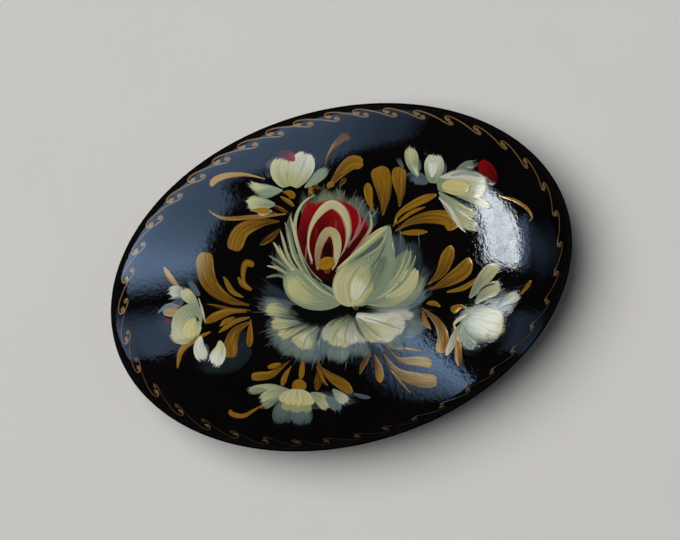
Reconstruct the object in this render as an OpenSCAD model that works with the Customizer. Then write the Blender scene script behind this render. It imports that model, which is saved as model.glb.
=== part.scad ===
// Oval papier-mache brooch with a hinged pin and a turning safety catch.
// +X runs along the long axis, +Z points out of the painted face, and z = 0 is the lowest point at the back.

/* [Shell] */
// Length of the oval
oval_l = 65; // [50:1:90]
// Width of the oval
oval_w = 46; // [38:1:64]
// Height of the upright rim below the dome
rim_h = 2; // [1.8:0.1:4]
// Height of the dome above the rim
dome_h = 9; // [7:0.5:14]
// Radius of the rounded back edge
edge_r = 0.8; // [0.2:0.1:1.2]
// Thickness of the shell at the crown
crown_t = 2.5; // [1.5:0.1:4]
// Width of the rim's flat land outside the back board
land_w = 1.6; // [1.3:0.1:3]
// Width of the ledge that the back board sits on
ledge_w = 1.4; // [0.8:0.1:3]

/* [Back board] */
// Thickness of the back board
board_t = 1.6; // [1:0.1:1.8]
// Gap between the back board and the shell, all round
board_gap = 0.1; // [0.05:0.05:0.3]

/* [Pin bar] */
// Length of the bar
bar_l = 38; // [32:1:44]
// Width of the bar
bar_w = 5; // [4.4:0.2:7]
// Thickness of the bar's steel strip
bar_t = 0.7; // [0.5:0.1:1]
// How far the bar sits above the middle of the oval
bar_rise = 5; // [0:0.5:8]
// Distance of the bar's underside from the axis of the closed pin
bar_drop = 2.7; // [2.6:0.1:4]

/* [Rivets] */
// Radius of the two rivets that hold the bar
rivet_r = 0.9; // [0.6:0.05:1.1]
// Radius of a rivet's round head
rivet_head_r = 1.7; // [1.5:0.1:2]
// Height of a rivet's round head
rivet_head_h = 0.6; // [0.4:0.1:0.8]
// Distance between the two rivets
rivet_pitch = 20; // [14:1:24]
// Radius of a rivet's headed tail
tail_r = 1.5; // [1.4:0.1:1.8]
// Height of a rivet's headed tail
tail_h = 0.6; // [0.4:0.1:0.9]
// Outer radius of a burr
burr_r = 2.3; // [2:0.1:3]
// Thickness of a burr
burr_t = 0.5; // [0.3:0.1:0.8]
// Clearance round every rivet
rivet_fit = 0.05; // [0.03:0.01:0.08]

/* [Pin] */
// Radius of the pin's wire
wire_r = 0.45; // [0.35:0.05:0.5]
// Radius of the thicker heel beside the hinge
heel_r = 0.7; // [0.6:0.05:0.8]
// Length of the heel, from the hinge axis
heel_l = 2.6; // [2.4:0.1:3.5]
// Radius of the pin's knuckle
knuckle_r = 1.25; // [1.15:0.05:1.4]
// Width of the pin's knuckle
knuckle_w = 1.8; // [1.4:0.1:2.4]
// Length of plain wire left between the catch and the start of the point
shank_gap = 0.4; // [0.2:0.1:1]
// Radius of the point's tip
tip_r = 0.06; // [0.04:0.01:0.1]
// How far the point reaches past the catch
tip_past = 1.2; // [0.5:0.1:2]

/* [Hinge] */
// Distance of the hinge axis from the end of the bar
hinge_inset = 2.2; // [1.6:0.1:3]
// Radius of the hinge rivet
hinge_r = 0.6; // [0.5:0.05:0.65]
// Radius of the hinge rivet's heads
hinge_head_r = 1.05; // [0.95:0.05:1.15]
// Height of the hinge rivet's heads
hinge_head_h = 0.4; // [0.3:0.1:0.6]
// Radius of the rounded hinge ears
ear_r = 1.5; // [1.4:0.1:1.7]
// Gap between the knuckle and each ear
knuckle_gap = 0.1; // [0.05:0.05:0.2]

/* [Catch] */
// Distance of the catch's outer end from the end of the bar
catch_inset = 1.2; // [0.6:0.1:2]
// Length of the catch housing
housing_l = 4.6; // [4:0.2:6]
// Wall of the catch housing
housing_wall = 0.65; // [0.5:0.05:0.8]
// Inner radius of the catch rotor
rotor_bore_r = 0.85; // [0.8:0.05:1]
// Wall of the catch rotor
rotor_wall = 0.9; // [0.7:0.05:1]
// Running clearance between the rotor and its housing
rotor_fit = 0.05; // [0.02:0.01:0.08]
// How far the rotor stands out at each end of its housing
rotor_past = 0.3; // [0.2:0.1:0.6]
// Clearance on each side of the pin in the two slots
slot_gap = 0.3; // [0.25:0.05:0.35]
// Width of the housing's foot on the bar
foot_w = 2.6; // [2:0.1:3.6]
// Reach of the finger tab from the catch axis
tab_reach = 3.3; // [3:0.1:4]
// Thickness of the finger tab
tab_t = 0.6; // [0.5:0.1:0.7]
// Width of the finger tab along the catch
tab_w = 1.3; // [1:0.1:1.6]
// Clearance round the finger tab in its window
tab_gap = 0.3; // [0.25:0.05:0.4]
// Angle of the finger tab from straight down while the catch is open
tab_angle = 42; // [40:1:50]
// Turn that locks the catch
catch_turn = 100; // [80:5:110]

/* [Hidden] */
$fn = 48;
SEGMENTS = 72;      // sides of the oval
DOME_RINGS = 14;    // rings from the rim to the crown
EDGE_RINGS = 4;     // rings round the back edge
SMALL = 0.01;       // overlap that joins solids of one piece
CUT = 1;            // how far a cutter runs past a face

half_l = oval_l / 2;
half_w = oval_w / 2;
slot_w = 2 * (wire_r + slot_gap);
rotor_r = rotor_bore_r + rotor_wall;
barrel_r = rotor_r + rotor_fit;
housing_r = barrel_r + housing_wall;

// Heights. The pin's axis is as high as the deepest part of the catch reaches below it.
tab_low = (tab_reach - tab_t / 2) * cos(tab_angle) + tab_t / 2;
lip_low = sqrt(pow(housing_r, 2) - pow(slot_w / 2, 2));
pin_z = max(tab_low, lip_low);
bar_z = pin_z + bar_drop;
back_z = bar_z + bar_t;
dome_z = back_z + rim_h;
crown_z = dome_z + dome_h;
board_z = back_z + board_t;

// Places along the bar
hinge_x = -bar_l / 2 + hinge_inset;
catch_end_x = bar_l / 2 - catch_inset;
catch_x = catch_end_x - housing_l / 2;
tip_x = catch_end_x + rotor_past + tip_past;
taper_x = catch_end_x - housing_l - rotor_past - shank_gap;
ear_y = knuckle_w / 2 + knuckle_gap;

// One ring of an oval whose semi-axes are given, at height z
function oval_ring(rx, ry, z) = [for (i = [0:SEGMENTS - 1]) let (a = 360 * i / SEGMENTS)
    [rx * cos(a), ry * sin(a), z]];

// A quad between two neighbouring rings of a stack, as two triangles
function band(ring, i) = let (a = ring * SEGMENTS + i, b = ring * SEGMENTS + (i + 1) % SEGMENTS)
    [[a + SEGMENTS, b + SEGMENTS, b], [a + SEGMENTS, b, a]];

// A closed solid through stacked ovals, each given as [rx, ry, z] from the bottom up, and a last point on top
module oval_stack(rings, top_z) {
    count = len(rings);
    points = [for (r = rings) each oval_ring(r[0], r[1], r[2]), [0, 0, top_z]];
    top_ring = (count - 1) * SEGMENTS;
    bottom = [[for (i = [0:SEGMENTS - 1]) i]];
    sides = [for (k = [0:count - 2]) each [for (i = [0:SEGMENTS - 1]) each band(k, i)]];
    cap = [for (i = [0:SEGMENTS - 1]) [top_ring + i, count * SEGMENTS, top_ring + (i + 1) % SEGMENTS]];
    polyhedron(points, concat(bottom, sides, cap));
}

// Semi-axes and height of the dome's rings, for a dome that stands on an oval at height z
function dome_rings(rx, ry, z, h) = [for (k = [0:DOME_RINGS - 1]) let (a = 90 * k / DOME_RINGS)
    [rx * cos(a), ry * cos(a), z + h * sin(a)]];

// The back edge, rounded by edge_r from the flat back to the upright rim
function edge_rings() = [for (k = [0:EDGE_RINGS]) let (a = 90 * k / EDGE_RINGS)
    [half_l - edge_r * (1 - sin(a)), half_w - edge_r * (1 - sin(a)), back_z + edge_r * (1 - cos(a))]];

module oval_plate(rx, ry, z, t) {
    outline = [for (p = oval_ring(rx, ry, 0)) [p[0], p[1]]];
    translate([0, 0, z])
        linear_extrude(t)
            polygon(outline);
}

module shell() {
    ledge_rx = half_l - land_w - ledge_w;
    ledge_ry = half_w - land_w - ledge_w;
    color("#14100e")
        difference() {
            oval_stack(concat(edge_rings(), dome_rings(half_l, half_w, dome_z, dome_h)), crown_z);
            oval_stack(dome_rings(ledge_rx, ledge_ry, board_z, crown_z - crown_t - board_z), crown_z - crown_t);
            oval_plate(half_l - land_w, half_w - land_w, back_z - CUT, board_t + CUT);
        }
}

// The two rivets stand side by side along the bar
module at_rivets() {
    for (side = [-1, 1])
        translate([side * rivet_pitch / 2, bar_rise, 0])
            children();
}

module back_board() {
    color("#1c1714")
        difference() {
            oval_plate(half_l - land_w - board_gap, half_w - land_w - board_gap, back_z, board_t);
            at_rivets()
                translate([0, 0, back_z - CUT])
                    cylinder(r = rivet_r + rivet_fit, h = board_t + 2 * CUT);
        }
}

// A round bar along Y through the hinge axis
module across_hinge(r, w) {
    translate([hinge_x, bar_rise, pin_z])
        rotate([90, 0, 0])
            cylinder(r = r, h = w, center = true);
}

// One hinge ear, folded down from the edge of the bar
module hinge_ear(side) {
    translate([hinge_x, bar_rise + side * (ear_y + bar_t / 2), pin_z])
        rotate([90, 0, 0])
            linear_extrude(bar_t, center = true) {
                circle(r = ear_r);
                translate([-ear_r, 0])
                    square([2 * ear_r, bar_drop + bar_t / 2]);
            }
}

// The flat strip: one end is round, and the hinge end narrows to the width over the ears
module bar_strip() {
    neck_w = 2 * (ear_y + bar_t);
    neck_x = hinge_x + ear_r;
    translate([0, bar_rise, bar_z])
        linear_extrude(bar_t) {
            translate([neck_x, -bar_w / 2])
                square([bar_l / 2 - bar_w / 2 - neck_x, bar_w]);
            translate([bar_l / 2 - bar_w / 2, 0])
                circle(d = bar_w);
            translate([-bar_l / 2, -neck_w / 2])
                square([neck_x + bar_l / 2 + SMALL, neck_w]);
        }
}

module pin_bar() {
    color("silver")
        difference() {
            union() {
                bar_strip();
                hinge_ear(-1);
                hinge_ear(1);
            }
            across_hinge(hinge_r + rivet_fit, 2 * (ear_y + bar_t) + CUT);
            at_rivets()
                translate([0, 0, bar_z - CUT])
                    cylinder(r = rivet_r + rivet_fit, h = bar_t + 2 * CUT);
        }
}

module bar_rivets() {
    tail_z = board_z + burr_t;
    color("gainsboro")
        at_rivets() {
            translate([0, 0, bar_z - SMALL])
                cylinder(r = rivet_r, h = tail_z - bar_z + 2 * SMALL);
            // the head is a low dome that touches the bar
            translate([0, 0, bar_z])
                rotate_extrude()
                    polygon(concat([[0, 0]], [for (a = [0:15:90])
                        [rivet_head_r * cos(a), -rivet_head_h * sin(a)]]));
            translate([0, 0, tail_z])
                cylinder(r = tail_r, h = tail_h);
        }
}

module rivet_burrs() {
    color("darkgoldenrod")
        at_rivets()
            translate([0, 0, board_z])
                difference() {
                    cylinder(r = burr_r, h = burr_t);
                    translate([0, 0, -CUT])
                        cylinder(r = rivet_r + rivet_fit, h = burr_t + 2 * CUT);
                }
}

// A round bar along X through the catch axis
module along_catch(r, l) {
    translate([catch_x, bar_rise, pin_z])
        rotate([0, 90, 0])
            cylinder(r = r, h = l, center = true);
}

// A slot that runs the length of the catch, open to the back
module pin_slot(l) {
    translate([catch_x - l / 2, bar_rise - slot_w / 2, pin_z - 2 * housing_r])
        cube([l, slot_w, 2 * housing_r]);
}

// The window that the finger tab travels in, from the open catch to the locked one
module tab_window() {
    reach = 2 * housing_r;
    margin = asin((tab_t / 2 + tab_gap) / housing_r);
    first = -tab_angle - margin;
    last = catch_turn - tab_angle + margin;
    steps = 12;
    fan = [for (k = [0:steps]) let (a = first + (last - first) * k / steps) [reach * sin(a), -reach * cos(a)]];
    translate([catch_x, bar_rise, pin_z])
        rotate([90, 0, 90])
            linear_extrude(tab_w + 2 * tab_gap, center = true)
                polygon(concat([[0, 0]], fan));
}

module catch_housing() {
    color("silver")
        difference() {
            union() {
                along_catch(housing_r, housing_l);
                translate([catch_x - housing_l / 2, bar_rise - foot_w / 2, pin_z])
                    cube([housing_l, foot_w, bar_drop]);
            }
            along_catch(barrel_r, housing_l + 2 * CUT);
            pin_slot(housing_l + 2 * CUT);
            tab_window();
        }
}

// The finger tab, which leans to one side of the slot while the catch is open
module finger_tab() {
    root = (rotor_bore_r + rotor_r) / 2;
    straight = tab_reach - tab_t / 2 - root;
    translate([catch_x, bar_rise, pin_z])
        rotate([-tab_angle, 0, 0])
            translate([-tab_w / 2, 0, -root - straight]) {
                translate([0, -tab_t / 2, 0])
                    cube([tab_w, tab_t, straight]);
                rotate([0, 90, 0])
                    cylinder(d = tab_t, h = tab_w);
            }
}

module catch_rotor() {
    rotor_l = housing_l + 2 * rotor_past;
    color("lightgray") {
        difference() {
            along_catch(rotor_r, rotor_l);
            along_catch(rotor_bore_r, rotor_l + 2 * CUT);
            pin_slot(rotor_l + 2 * CUT);
        }
        finger_tab();
    }
}

// A round length of the pin between two places along it
module pin_length(from_x, to_x, from_r, to_r) {
    translate([from_x, bar_rise, pin_z])
        rotate([0, 90, 0])
            cylinder(r1 = from_r, r2 = to_r, h = to_x - from_x);
}

module pin_stem() {
    color("whitesmoke")
        difference() {
            union() {
                across_hinge(knuckle_r, knuckle_w);
                pin_length(hinge_x, hinge_x + heel_l, heel_r, heel_r);
                pin_length(hinge_x, taper_x, wire_r, wire_r);
                pin_length(taper_x, tip_x, wire_r, tip_r);
            }
            across_hinge(hinge_r + rivet_fit, knuckle_w + CUT);
        }
}

module hinge_rivet() {
    grip = 2 * (ear_y + bar_t);
    color("gainsboro") {
        across_hinge(hinge_r, grip + 2 * SMALL);
        for (side = [-1, 1])
            translate([0, side * (grip + hinge_head_h) / 2, 0])
                across_hinge(hinge_head_r, hinge_head_h);
    }
}

shell();
back_board();
pin_bar();
bar_rivets();
rivet_burrs();
catch_housing();
catch_rotor();
pin_stem();
hinge_rivet();
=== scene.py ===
"""Visual model of an oval lacquered brooch: a painted dome, and the pin and catch on its back.

Sizes inside the script are in millimetres, and meshes are made in metres. The bouquet is laid out in its own
upright frame, with its origin over the middle of the oval, and leans on the oval by Dome.lean.
"""

from __future__ import annotations

import logging
import math
from dataclasses import dataclass, field, replace
from enum import Enum
from typing import Any, Optional, Sequence

import bmesh
import bpy
import numpy as np
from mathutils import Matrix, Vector


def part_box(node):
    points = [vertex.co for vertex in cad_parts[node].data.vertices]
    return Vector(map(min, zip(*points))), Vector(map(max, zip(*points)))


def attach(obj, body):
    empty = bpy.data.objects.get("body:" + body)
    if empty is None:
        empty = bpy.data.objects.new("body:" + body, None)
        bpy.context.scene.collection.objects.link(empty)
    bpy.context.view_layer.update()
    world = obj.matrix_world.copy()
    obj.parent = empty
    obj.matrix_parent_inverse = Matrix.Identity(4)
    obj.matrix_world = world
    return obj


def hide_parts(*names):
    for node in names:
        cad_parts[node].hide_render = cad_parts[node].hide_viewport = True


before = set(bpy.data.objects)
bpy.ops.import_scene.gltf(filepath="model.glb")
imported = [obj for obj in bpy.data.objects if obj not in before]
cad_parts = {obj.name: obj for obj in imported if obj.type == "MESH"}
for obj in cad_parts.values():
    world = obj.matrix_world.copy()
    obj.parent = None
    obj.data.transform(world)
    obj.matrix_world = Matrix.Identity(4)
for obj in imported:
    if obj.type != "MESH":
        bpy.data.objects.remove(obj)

MM = 0.001
LOG = logging.getLogger("brooch")
Point = tuple[float, float]
Triple = tuple[float, float, float]
Colour = Triple


def linear(red: int, green: int, blue: int) -> Colour:
    """The scene-linear colour of a paint that is given in display values."""

    def one(value: int) -> float:
        share = value / 255
        return share / 12.92 if share <= 0.04045 else ((share + 0.055) / 1.055) ** 2.4

    return one(red), one(green), one(blue)


# ---- Node trees written as expressions ----


class Value:
    """A number socket that takes part in Python arithmetic by adding Math nodes."""

    def __init__(self, bench: "Bench", socket: bpy.types.NodeSocket) -> None:
        """Wraps an output socket of the bench's tree."""
        self.bench = bench
        self.socket = socket

    def maths(self, operation: str, first: Any, second: Any = None) -> "Value":
        """Adds one Math node.

        Args:
            operation: The Math node's operation.
            first: Its first input.
            second: Its second input, if it has one.

        Returns:
            The node's result.
        """
        values = {0: first} if second is None else {0: first, 1: second}
        node = self.bench.node("ShaderNodeMath", {"operation": operation}, values)
        return Value(self.bench, node.outputs[0])

    def cosine(self) -> "Value":
        """Its cosine."""
        return self.maths("COSINE", self)

    def at_least(self, low: float) -> "Value":
        """The larger of it and low."""
        return self.maths("MAXIMUM", self, low)

    def __add__(self, other: Any) -> "Value":
        """self + other."""
        return self.maths("ADD", self, other)

    __radd__ = __add__

    def __mul__(self, other: Any) -> "Value":
        """self * other."""
        return self.maths("MULTIPLY", self, other)

    __rmul__ = __mul__

    def __sub__(self, other: Any) -> "Value":
        """self - other."""
        return self.maths("SUBTRACT", self, other)

    def __rsub__(self, other: Any) -> "Value":
        """other - self."""
        return self.maths("SUBTRACT", other, self)

    def __truediv__(self, other: Any) -> "Value":
        """self / other."""
        return self.maths("DIVIDE", self, other)

    def __pow__(self, other: Any) -> "Value":
        """self to the power of other."""
        return self.maths("POWER", self, other)

    def __mod__(self, other: Any) -> "Value":
        """self modulo other, always positive."""
        return self.maths("FLOORED_MODULO", self, other)

    def root(self) -> "Value":
        """The square root."""
        return self.maths("SQRT", self)

    def ramp(self, low: float, high: float) -> "Value":
        """A smooth step from 0 at low to 1 at high."""
        node = self.bench.node(
            "ShaderNodeMapRange",
            {"interpolation_type": "SMOOTHSTEP"},
            {"Value": self, "From Min": low, "From Max": high},
        )
        return Value(self.bench, node.outputs["Result"])


class Bench:
    """Adds nodes to one shader or geometry tree."""

    def __init__(self, tree: bpy.types.NodeTree) -> None:
        """Starts on an empty tree."""
        self.tree = tree

    def node(self, kind: str, settings: Optional[dict] = None,
             values: Optional[dict] = None) -> bpy.types.Node:
        """Adds a node, sets its settings, then fills its inputs.

        Args:
            kind: The node's type.
            settings: Attributes of the node, set first.
            values: Inputs by name, identifier or place, each a number, a tuple, a socket or a Value.

        Returns:
            The node.
        """
        made = self.tree.nodes.new(kind)
        for name, setting in (settings or {}).items():
            setattr(made, name, setting)
        for key, value in (values or {}).items():
            socket = self.input_of(made, key)
            if isinstance(value, Value):
                value = value.socket
            if isinstance(value, bpy.types.NodeSocket):
                self.tree.links.new(value, socket)
            else:
                socket.default_value = value
        return made

    @staticmethod
    def input_of(node: bpy.types.Node, key: Any) -> bpy.types.NodeSocket:
        """The input with that place, identifier or name."""
        if isinstance(key, int):
            return node.inputs[key]
        for socket in node.inputs:
            if socket.identifier == key:
                return socket
        return node.inputs[key]

    def value(self, kind: str, output: Any = 0, settings: Optional[dict] = None,
              values: Optional[dict] = None) -> Value:
        """Adds a node and wraps one of its outputs."""
        return Value(self, self.node(kind, settings, values).outputs[output])

    def vector(self, operation: str, *values: Any, output: Any = 0) -> Value:
        """Adds a Vector Math node on the given values."""
        inputs = dict(enumerate(values))
        return self.value("ShaderNodeVectorMath", output, {"operation": operation}, inputs)

    def mix(self, factor: Any, first: Any, second: Any, blend: str = "MIX") -> Value:
        """Mixes two colours."""
        values = {"Factor_Float": factor, "A_Color": self.opaque(first), "B_Color": self.opaque(second)}
        node = self.node("ShaderNodeMix", {"data_type": "RGBA", "blend_type": blend}, values)
        return Value(self, next(s for s in node.outputs if s.identifier == "Result_Color"))

    @staticmethod
    def opaque(colour: Any) -> Any:
        """A colour with its fourth number, or the socket as it is."""
        return (*colour, 1.0) if isinstance(colour, tuple) and len(colour) == 3 else colour

    def here(self, stretch: Triple = (1.0, 1.0, 1.0)) -> Value:
        """Places in the object's own space, each axis stretched."""
        return self.stretched(self.value("ShaderNodeTexCoord", "Object"), stretch)

    def stretched(self, vector: Any, stretch: Triple) -> Value:
        """A vector with each axis stretched."""
        return self.value("ShaderNodeMapping", 0, None, {"Vector": vector, "Scale": stretch})

    def scaled(self, vector: Any, factor: Any) -> Value:
        """A vector times a number."""
        return self.value("ShaderNodeVectorMath", 0, {"operation": "SCALE"}, {0: vector, "Scale": factor})

    def joined(self, x: Any, y: Any, z: Any) -> Value:
        """A vector made of three numbers."""
        return self.value("ShaderNodeCombineXYZ", 0, None, {"X": x, "Y": y, "Z": z})

    def parts(self, vector: Any) -> list[Value]:
        """The three numbers of a vector."""
        split = self.node("ShaderNodeSeparateXYZ", None, {0: vector})
        return [Value(self, output) for output in split.outputs]

    def store(self, geometry: Any, kind: str, name: str, value: Any) -> Value:
        """Stores a named attribute on a geometry's points."""
        settings = {"data_type": kind, "domain": "POINT"}
        values = {"Geometry": geometry, "Name": name, "Value": value}
        return self.value("GeometryNodeStoreNamedAttribute", 0, settings, values)

    def stored(self, kind: str, name: str) -> Value:
        """Reads a named attribute back."""
        return self.value("GeometryNodeInputNamedAttribute", 0, {"data_type": kind}, {"Name": name})

    def specks(self, scale: float, small: float, large: float) -> Value:
        """Round specks, 1 at their middles and 0 between them."""
        values = {"Vector": self.here(), "Scale": scale}
        return 1 - self.value("ShaderNodeTexVoronoi", "Distance", None, values).ramp(small, large)

    def noise(self, scale: float, vector: Any, detail: float = 2.0, rough: float = 0.5) -> Value:
        """A noise texture, from 0 to 1."""
        values = {"Vector": vector, "Scale": scale, "Detail": detail, "Roughness": rough}
        return self.value("ShaderNodeTexNoise", "Fac", None, values)

    def attribute(self, name: str, output: str) -> Value:
        """A named attribute of the mesh."""
        return self.value("ShaderNodeAttribute", output, {"attribute_name": name})

    def bump(self, height: Value, strength: float, distance: float) -> Value:
        """A bumped normal. distance is in millimetres."""
        values = {"Height": height, "Strength": strength, "Distance": distance * MM}
        return self.value("ShaderNodeBump", "Normal", None, values)


class Finish:
    """A surface finish that makes its own material once."""

    name = "finish"
    slot = ""

    def dress(self, bench: Bench) -> dict:
        """The inputs of the surface's Principled shader."""
        raise NotImplementedError

    def material(self) -> bpy.types.Material:
        """The finish as a material, made on first use."""
        made = bpy.data.materials.get(self.name)
        if made:
            return made
        made = bpy.data.materials.new(self.name)
        made.use_nodes = True
        made.node_tree.nodes.clear()
        bench = Bench(made.node_tree)
        inputs = {key: bench.opaque(value) for key, value in self.dress(bench).items()}
        shader = bench.node("ShaderNodeBsdfPrincipled", None, inputs)
        bench.node("ShaderNodeOutputMaterial", None, {"Surface": shader.outputs[0]})
        return made


@dataclass(frozen=True)
class BlackLacquer(Finish):
    """Black oil lacquer, rubbed down and varnished until it mirrors."""

    name: str = "black_lacquer"
    slot: str = "painted_lacquer"
    base: Colour = linear(4, 3, 3)
    brown: Colour = linear(16, 9, 9)
    ripple: float = 0.012
    polish: float = 0.034

    def dress(self, bench: Bench) -> dict:
        """Faint brown cloudiness, slow ripple, fine rubbing marks and dust under the varnish."""
        place = bench.here()
        cloud = bench.noise(160, place, 3.0).ramp(0.45, 0.75)
        ripple = bench.noise(330, place, 1.0)
        peel = bench.noise(1700, place, 3.0, 0.6)
        marks = bench.noise(5200, bench.here((0.3, 2.2, 1.0)), 2.0, 0.6)
        grain = bench.noise(9000, place, 1.0)
        dust = bench.specks(900.0, 0.02, 0.07)
        relief = ripple + peel * 2.6 + marks * 0.12 + grain * 0.04 + dust * 0.3
        return {
            "Base Color": bench.mix(cloud * 0.35, self.base, self.brown),
            "Roughness": marks * 0.05 + cloud * 0.02 + (self.polish - 0.03),
            "Normal": bench.bump(relief, 0.5, self.ripple),
        }


@dataclass(frozen=True)
class BoardLacquer(Finish):
    """Thinner lacquer brushed over the pressed board at the back, where the paper's fibres still show."""

    name: str = "board_lacquer"
    slot: str = "plain_lacquer"
    base: Colour = linear(24, 20, 18)
    worn_and_shaded: Colour = linear(58, 44, 34)

    def dress(self, bench: Bench) -> dict:
        """Pressed fibres in the relief, and rubbed, duller patches where cloth touches."""
        fibre = bench.noise(1500, bench.here((0.35, 1.6, 1.0)), 4.0, 0.65)
        patch = bench.noise(90, bench.here(), 3.0).ramp(0.48, 0.7)
        return {
            "Base Color": bench.mix(patch * 0.5 + fibre * 0.15, self.base, self.worn_and_shaded),
            "Roughness": patch * 0.22 + fibre * 0.12 + 0.16,
            "Normal": bench.bump(fibre + patch * 0.3, 0.6, 0.05),
        }


@dataclass(frozen=True)
class Brushwork(Finish):
    """Oil paint laid in single touches, with the bristles' furrows, under the varnish."""

    name: str = "brushwork"
    slot: str = "painted_lacquer"
    furrows: float = 0.03
    gloss: float = 0.09
    spread: float = 1.5
    metal: float = 0.0
    # glint: colour of a painted highlight, mixed in patches into the paint's colour.
    glint: Optional[Colour] = None

    def dress(self, bench: Bench) -> dict:
        """Streaks of paint over what was painted before, as the brush's load says, with patches of painted
        highlight where a glint colour is given.
        """
        along = bench.value("ShaderNodeUVMap", "UV", {"uv_map": "touch"})
        wide = bench.stretched(along, (0.16, 2.1, 1.0))
        fine = bench.stretched(along, (0.30, 7.5, 1.0))
        strands = bench.noise(1.0, wide, 2.0, 0.6)
        hairs = bench.noise(1.0, fine, 2.0, 0.6)
        glint_patches = bench.noise(1.7, wide, 1.0)
        bristle = strands * 0.55 + hairs * 0.45
        load = bench.attribute("load", "Fac")
        cover = (load + (bristle - 0.5) * self.spread).ramp(0.25, 0.62)
        paint = bench.attribute("paint", "Color")
        ground = bench.attribute("ground", "Color")
        tone = (strands - 0.5) * 0.5 + (hairs - 0.5) * 0.35 + 1.0
        shade = bench.mix((0.5 - strands).ramp(0.0, 0.2) * 0.22, bench.scaled(paint, tone), ground)
        # Painted highlight: the glint colour mixed into the paint's colour in patches.
        if self.glint:
            shade = bench.mix(glint_patches.ramp(0.42, 0.72) * 0.55, shade, self.glint)
        inputs = {
            "Base Color": bench.mix(cover, ground, shade),
            "Roughness": hairs * 0.08 + (self.gloss - 0.04),
            "Normal": bench.bump(cover * 0.4 + hairs * 0.35 + strands * 0.45, 0.5, self.furrows),
        }
        if self.metal:
            inputs["Metallic"] = cover * self.metal
        return inputs


@dataclass(frozen=True)
class Nickel(Finish):
    """Nickel plate on stamped steel, with the sheet's drawing marks and dulled handling."""

    name: str = "nickel_plate"
    slot: str = "nickel_plate"
    base: Colour = linear(206, 200, 188)
    dull: Colour = linear(146, 138, 124)
    lay: Triple = (0.12, 2.5, 2.5)
    roughness: float = 0.22

    def dress(self, bench: Bench) -> dict:
        """Fine lines along the strip, cloudy tarnish and pin-prick pits."""
        lines = bench.noise(4200, bench.here(self.lay), 3.0, 0.6)
        tarnish = bench.noise(420, bench.here(), 4.0, 0.6).ramp(0.45, 0.75)
        pits = bench.specks(2600.0, 0.05, 0.14)
        return {
            "Base Color": bench.mix(tarnish * 0.7 + pits * 0.3, self.base, self.dull),
            "Metallic": 1.0,
            "Roughness": lines * 0.16 + tarnish * 0.16 + (self.roughness - 0.08),
            "Normal": bench.bump(lines - pits * 0.8, 0.35, 0.012),
        }


@dataclass(frozen=True)
class FloorCard(Finish):
    """The plain pale card that the brooch lies on. Seen from below it lets the view through."""

    name: str = "pale_card"
    base: Colour = linear(226, 223, 218)
    shade: Colour = linear(214, 210, 204)

    def dress(self, bench: Bench) -> dict:
        """Soft mottling and the card's faint tooth."""
        tooth = bench.noise(2600, bench.here(), 3.0)
        mottle = bench.noise(60, bench.here(), 3.0)
        back = bench.value("ShaderNodeNewGeometry", "Backfacing")
        return {
            "Base Color": bench.mix(mottle * 0.25, self.base, self.shade),
            "Roughness": 0.85,
            "Alpha": 1 - back,
            "Normal": bench.bump(tooth, 0.3, 0.05),
        }


# ---- The dome, and meshes laid on it ----


@dataclass(frozen=True)
class Dome:
    """The outside of the shell: half an ellipsoid on an upright rim.

    Attributes:
        half_l: Half its length, in mm, as with the other sizes.
        half_w: Half its width.
        back_z: Height of its back edge.
        crown_z: Height of its top.
        rim_h: Height of the upright rim.
        lean: How far the bouquet leans on the oval, in radians.
        farthest: Share of the half axes beyond which nothing is laid.
    """

    half_l: float
    half_w: float
    back_z: float
    crown_z: float
    rim_h: float = 2.0
    lean: float = math.radians(17.4)
    farthest: float = 0.998

    @classmethod
    def of_shell(cls) -> "Dome":
        """The dome of the CAD shell."""
        low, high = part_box("shell")
        return cls(high[0] / MM, high[1] / MM, low[2] / MM, high[2] / MM)

    @property
    def rim_z(self) -> float:
        """Height where the dome begins."""
        return self.back_z + self.rim_h

    @property
    def dome_h(self) -> float:
        """Height of the dome over the rim."""
        return self.crown_z - self.rim_z

    def on_oval(self, plan: np.ndarray) -> np.ndarray:
        """Turns plan points from the bouquet's upright frame to the oval's own axes."""
        c, s = math.cos(self.lean), math.sin(self.lean)
        return np.stack([plan[..., 0] * c + plan[..., 1] * s, plan[..., 1] * c - plan[..., 0] * s], -1)

    def mirror(self, place: Point) -> Vector:
        """The way a level mirror image goes from a place on the dome, for an eye straight above.

        Args:
            place: A place in the bouquet's frame.

        Returns:
            A unit vector from the dome to what it mirrors.
        """
        east, north = self.on_oval(np.array(place)) / np.array([self.half_l, self.half_w])
        up = math.sqrt(max(1 - east**2 - north**2, 1e-4))
        normal = Vector((east / self.half_l, north / self.half_w, up / self.dome_h)).normalized()
        return 2 * normal.z * normal - Vector((0, 0, 1))

    def lift(self, plan: np.ndarray, rise: np.ndarray) -> np.ndarray:
        """Places plan points on the dome.

        Args:
            plan: Points in the oval's axes, in mm.
            rise: Each point's height over the dome's surface, in mm.

        Returns:
            Points in metres.
        """
        share = plan / np.array([self.half_l, self.half_w])
        out = np.sqrt((share**2).sum(-1))
        plan = plan * np.where(out > self.farthest, self.farthest / np.maximum(out, 1e-9), 1.0)[..., None]
        share = plan / np.array([self.half_l, self.half_w])
        up = np.sqrt(1 - (share**2).sum(-1))
        place = np.concatenate([plan, (self.rim_z + self.dome_h * up)[..., None]], -1)
        normal = np.concatenate(
            [share / np.array([self.half_l, self.half_w]), (up / self.dome_h)[..., None]], -1
        )
        normal /= np.linalg.norm(normal, axis=-1, keepdims=True)
        return (place + normal * rise[..., None]) * MM


def placed(name: str, data: bpy.types.ID) -> bpy.types.Object:
    """A new object in the scene."""
    made = bpy.data.objects.new(name, data)
    bpy.context.scene.collection.objects.link(made)
    return made


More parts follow.
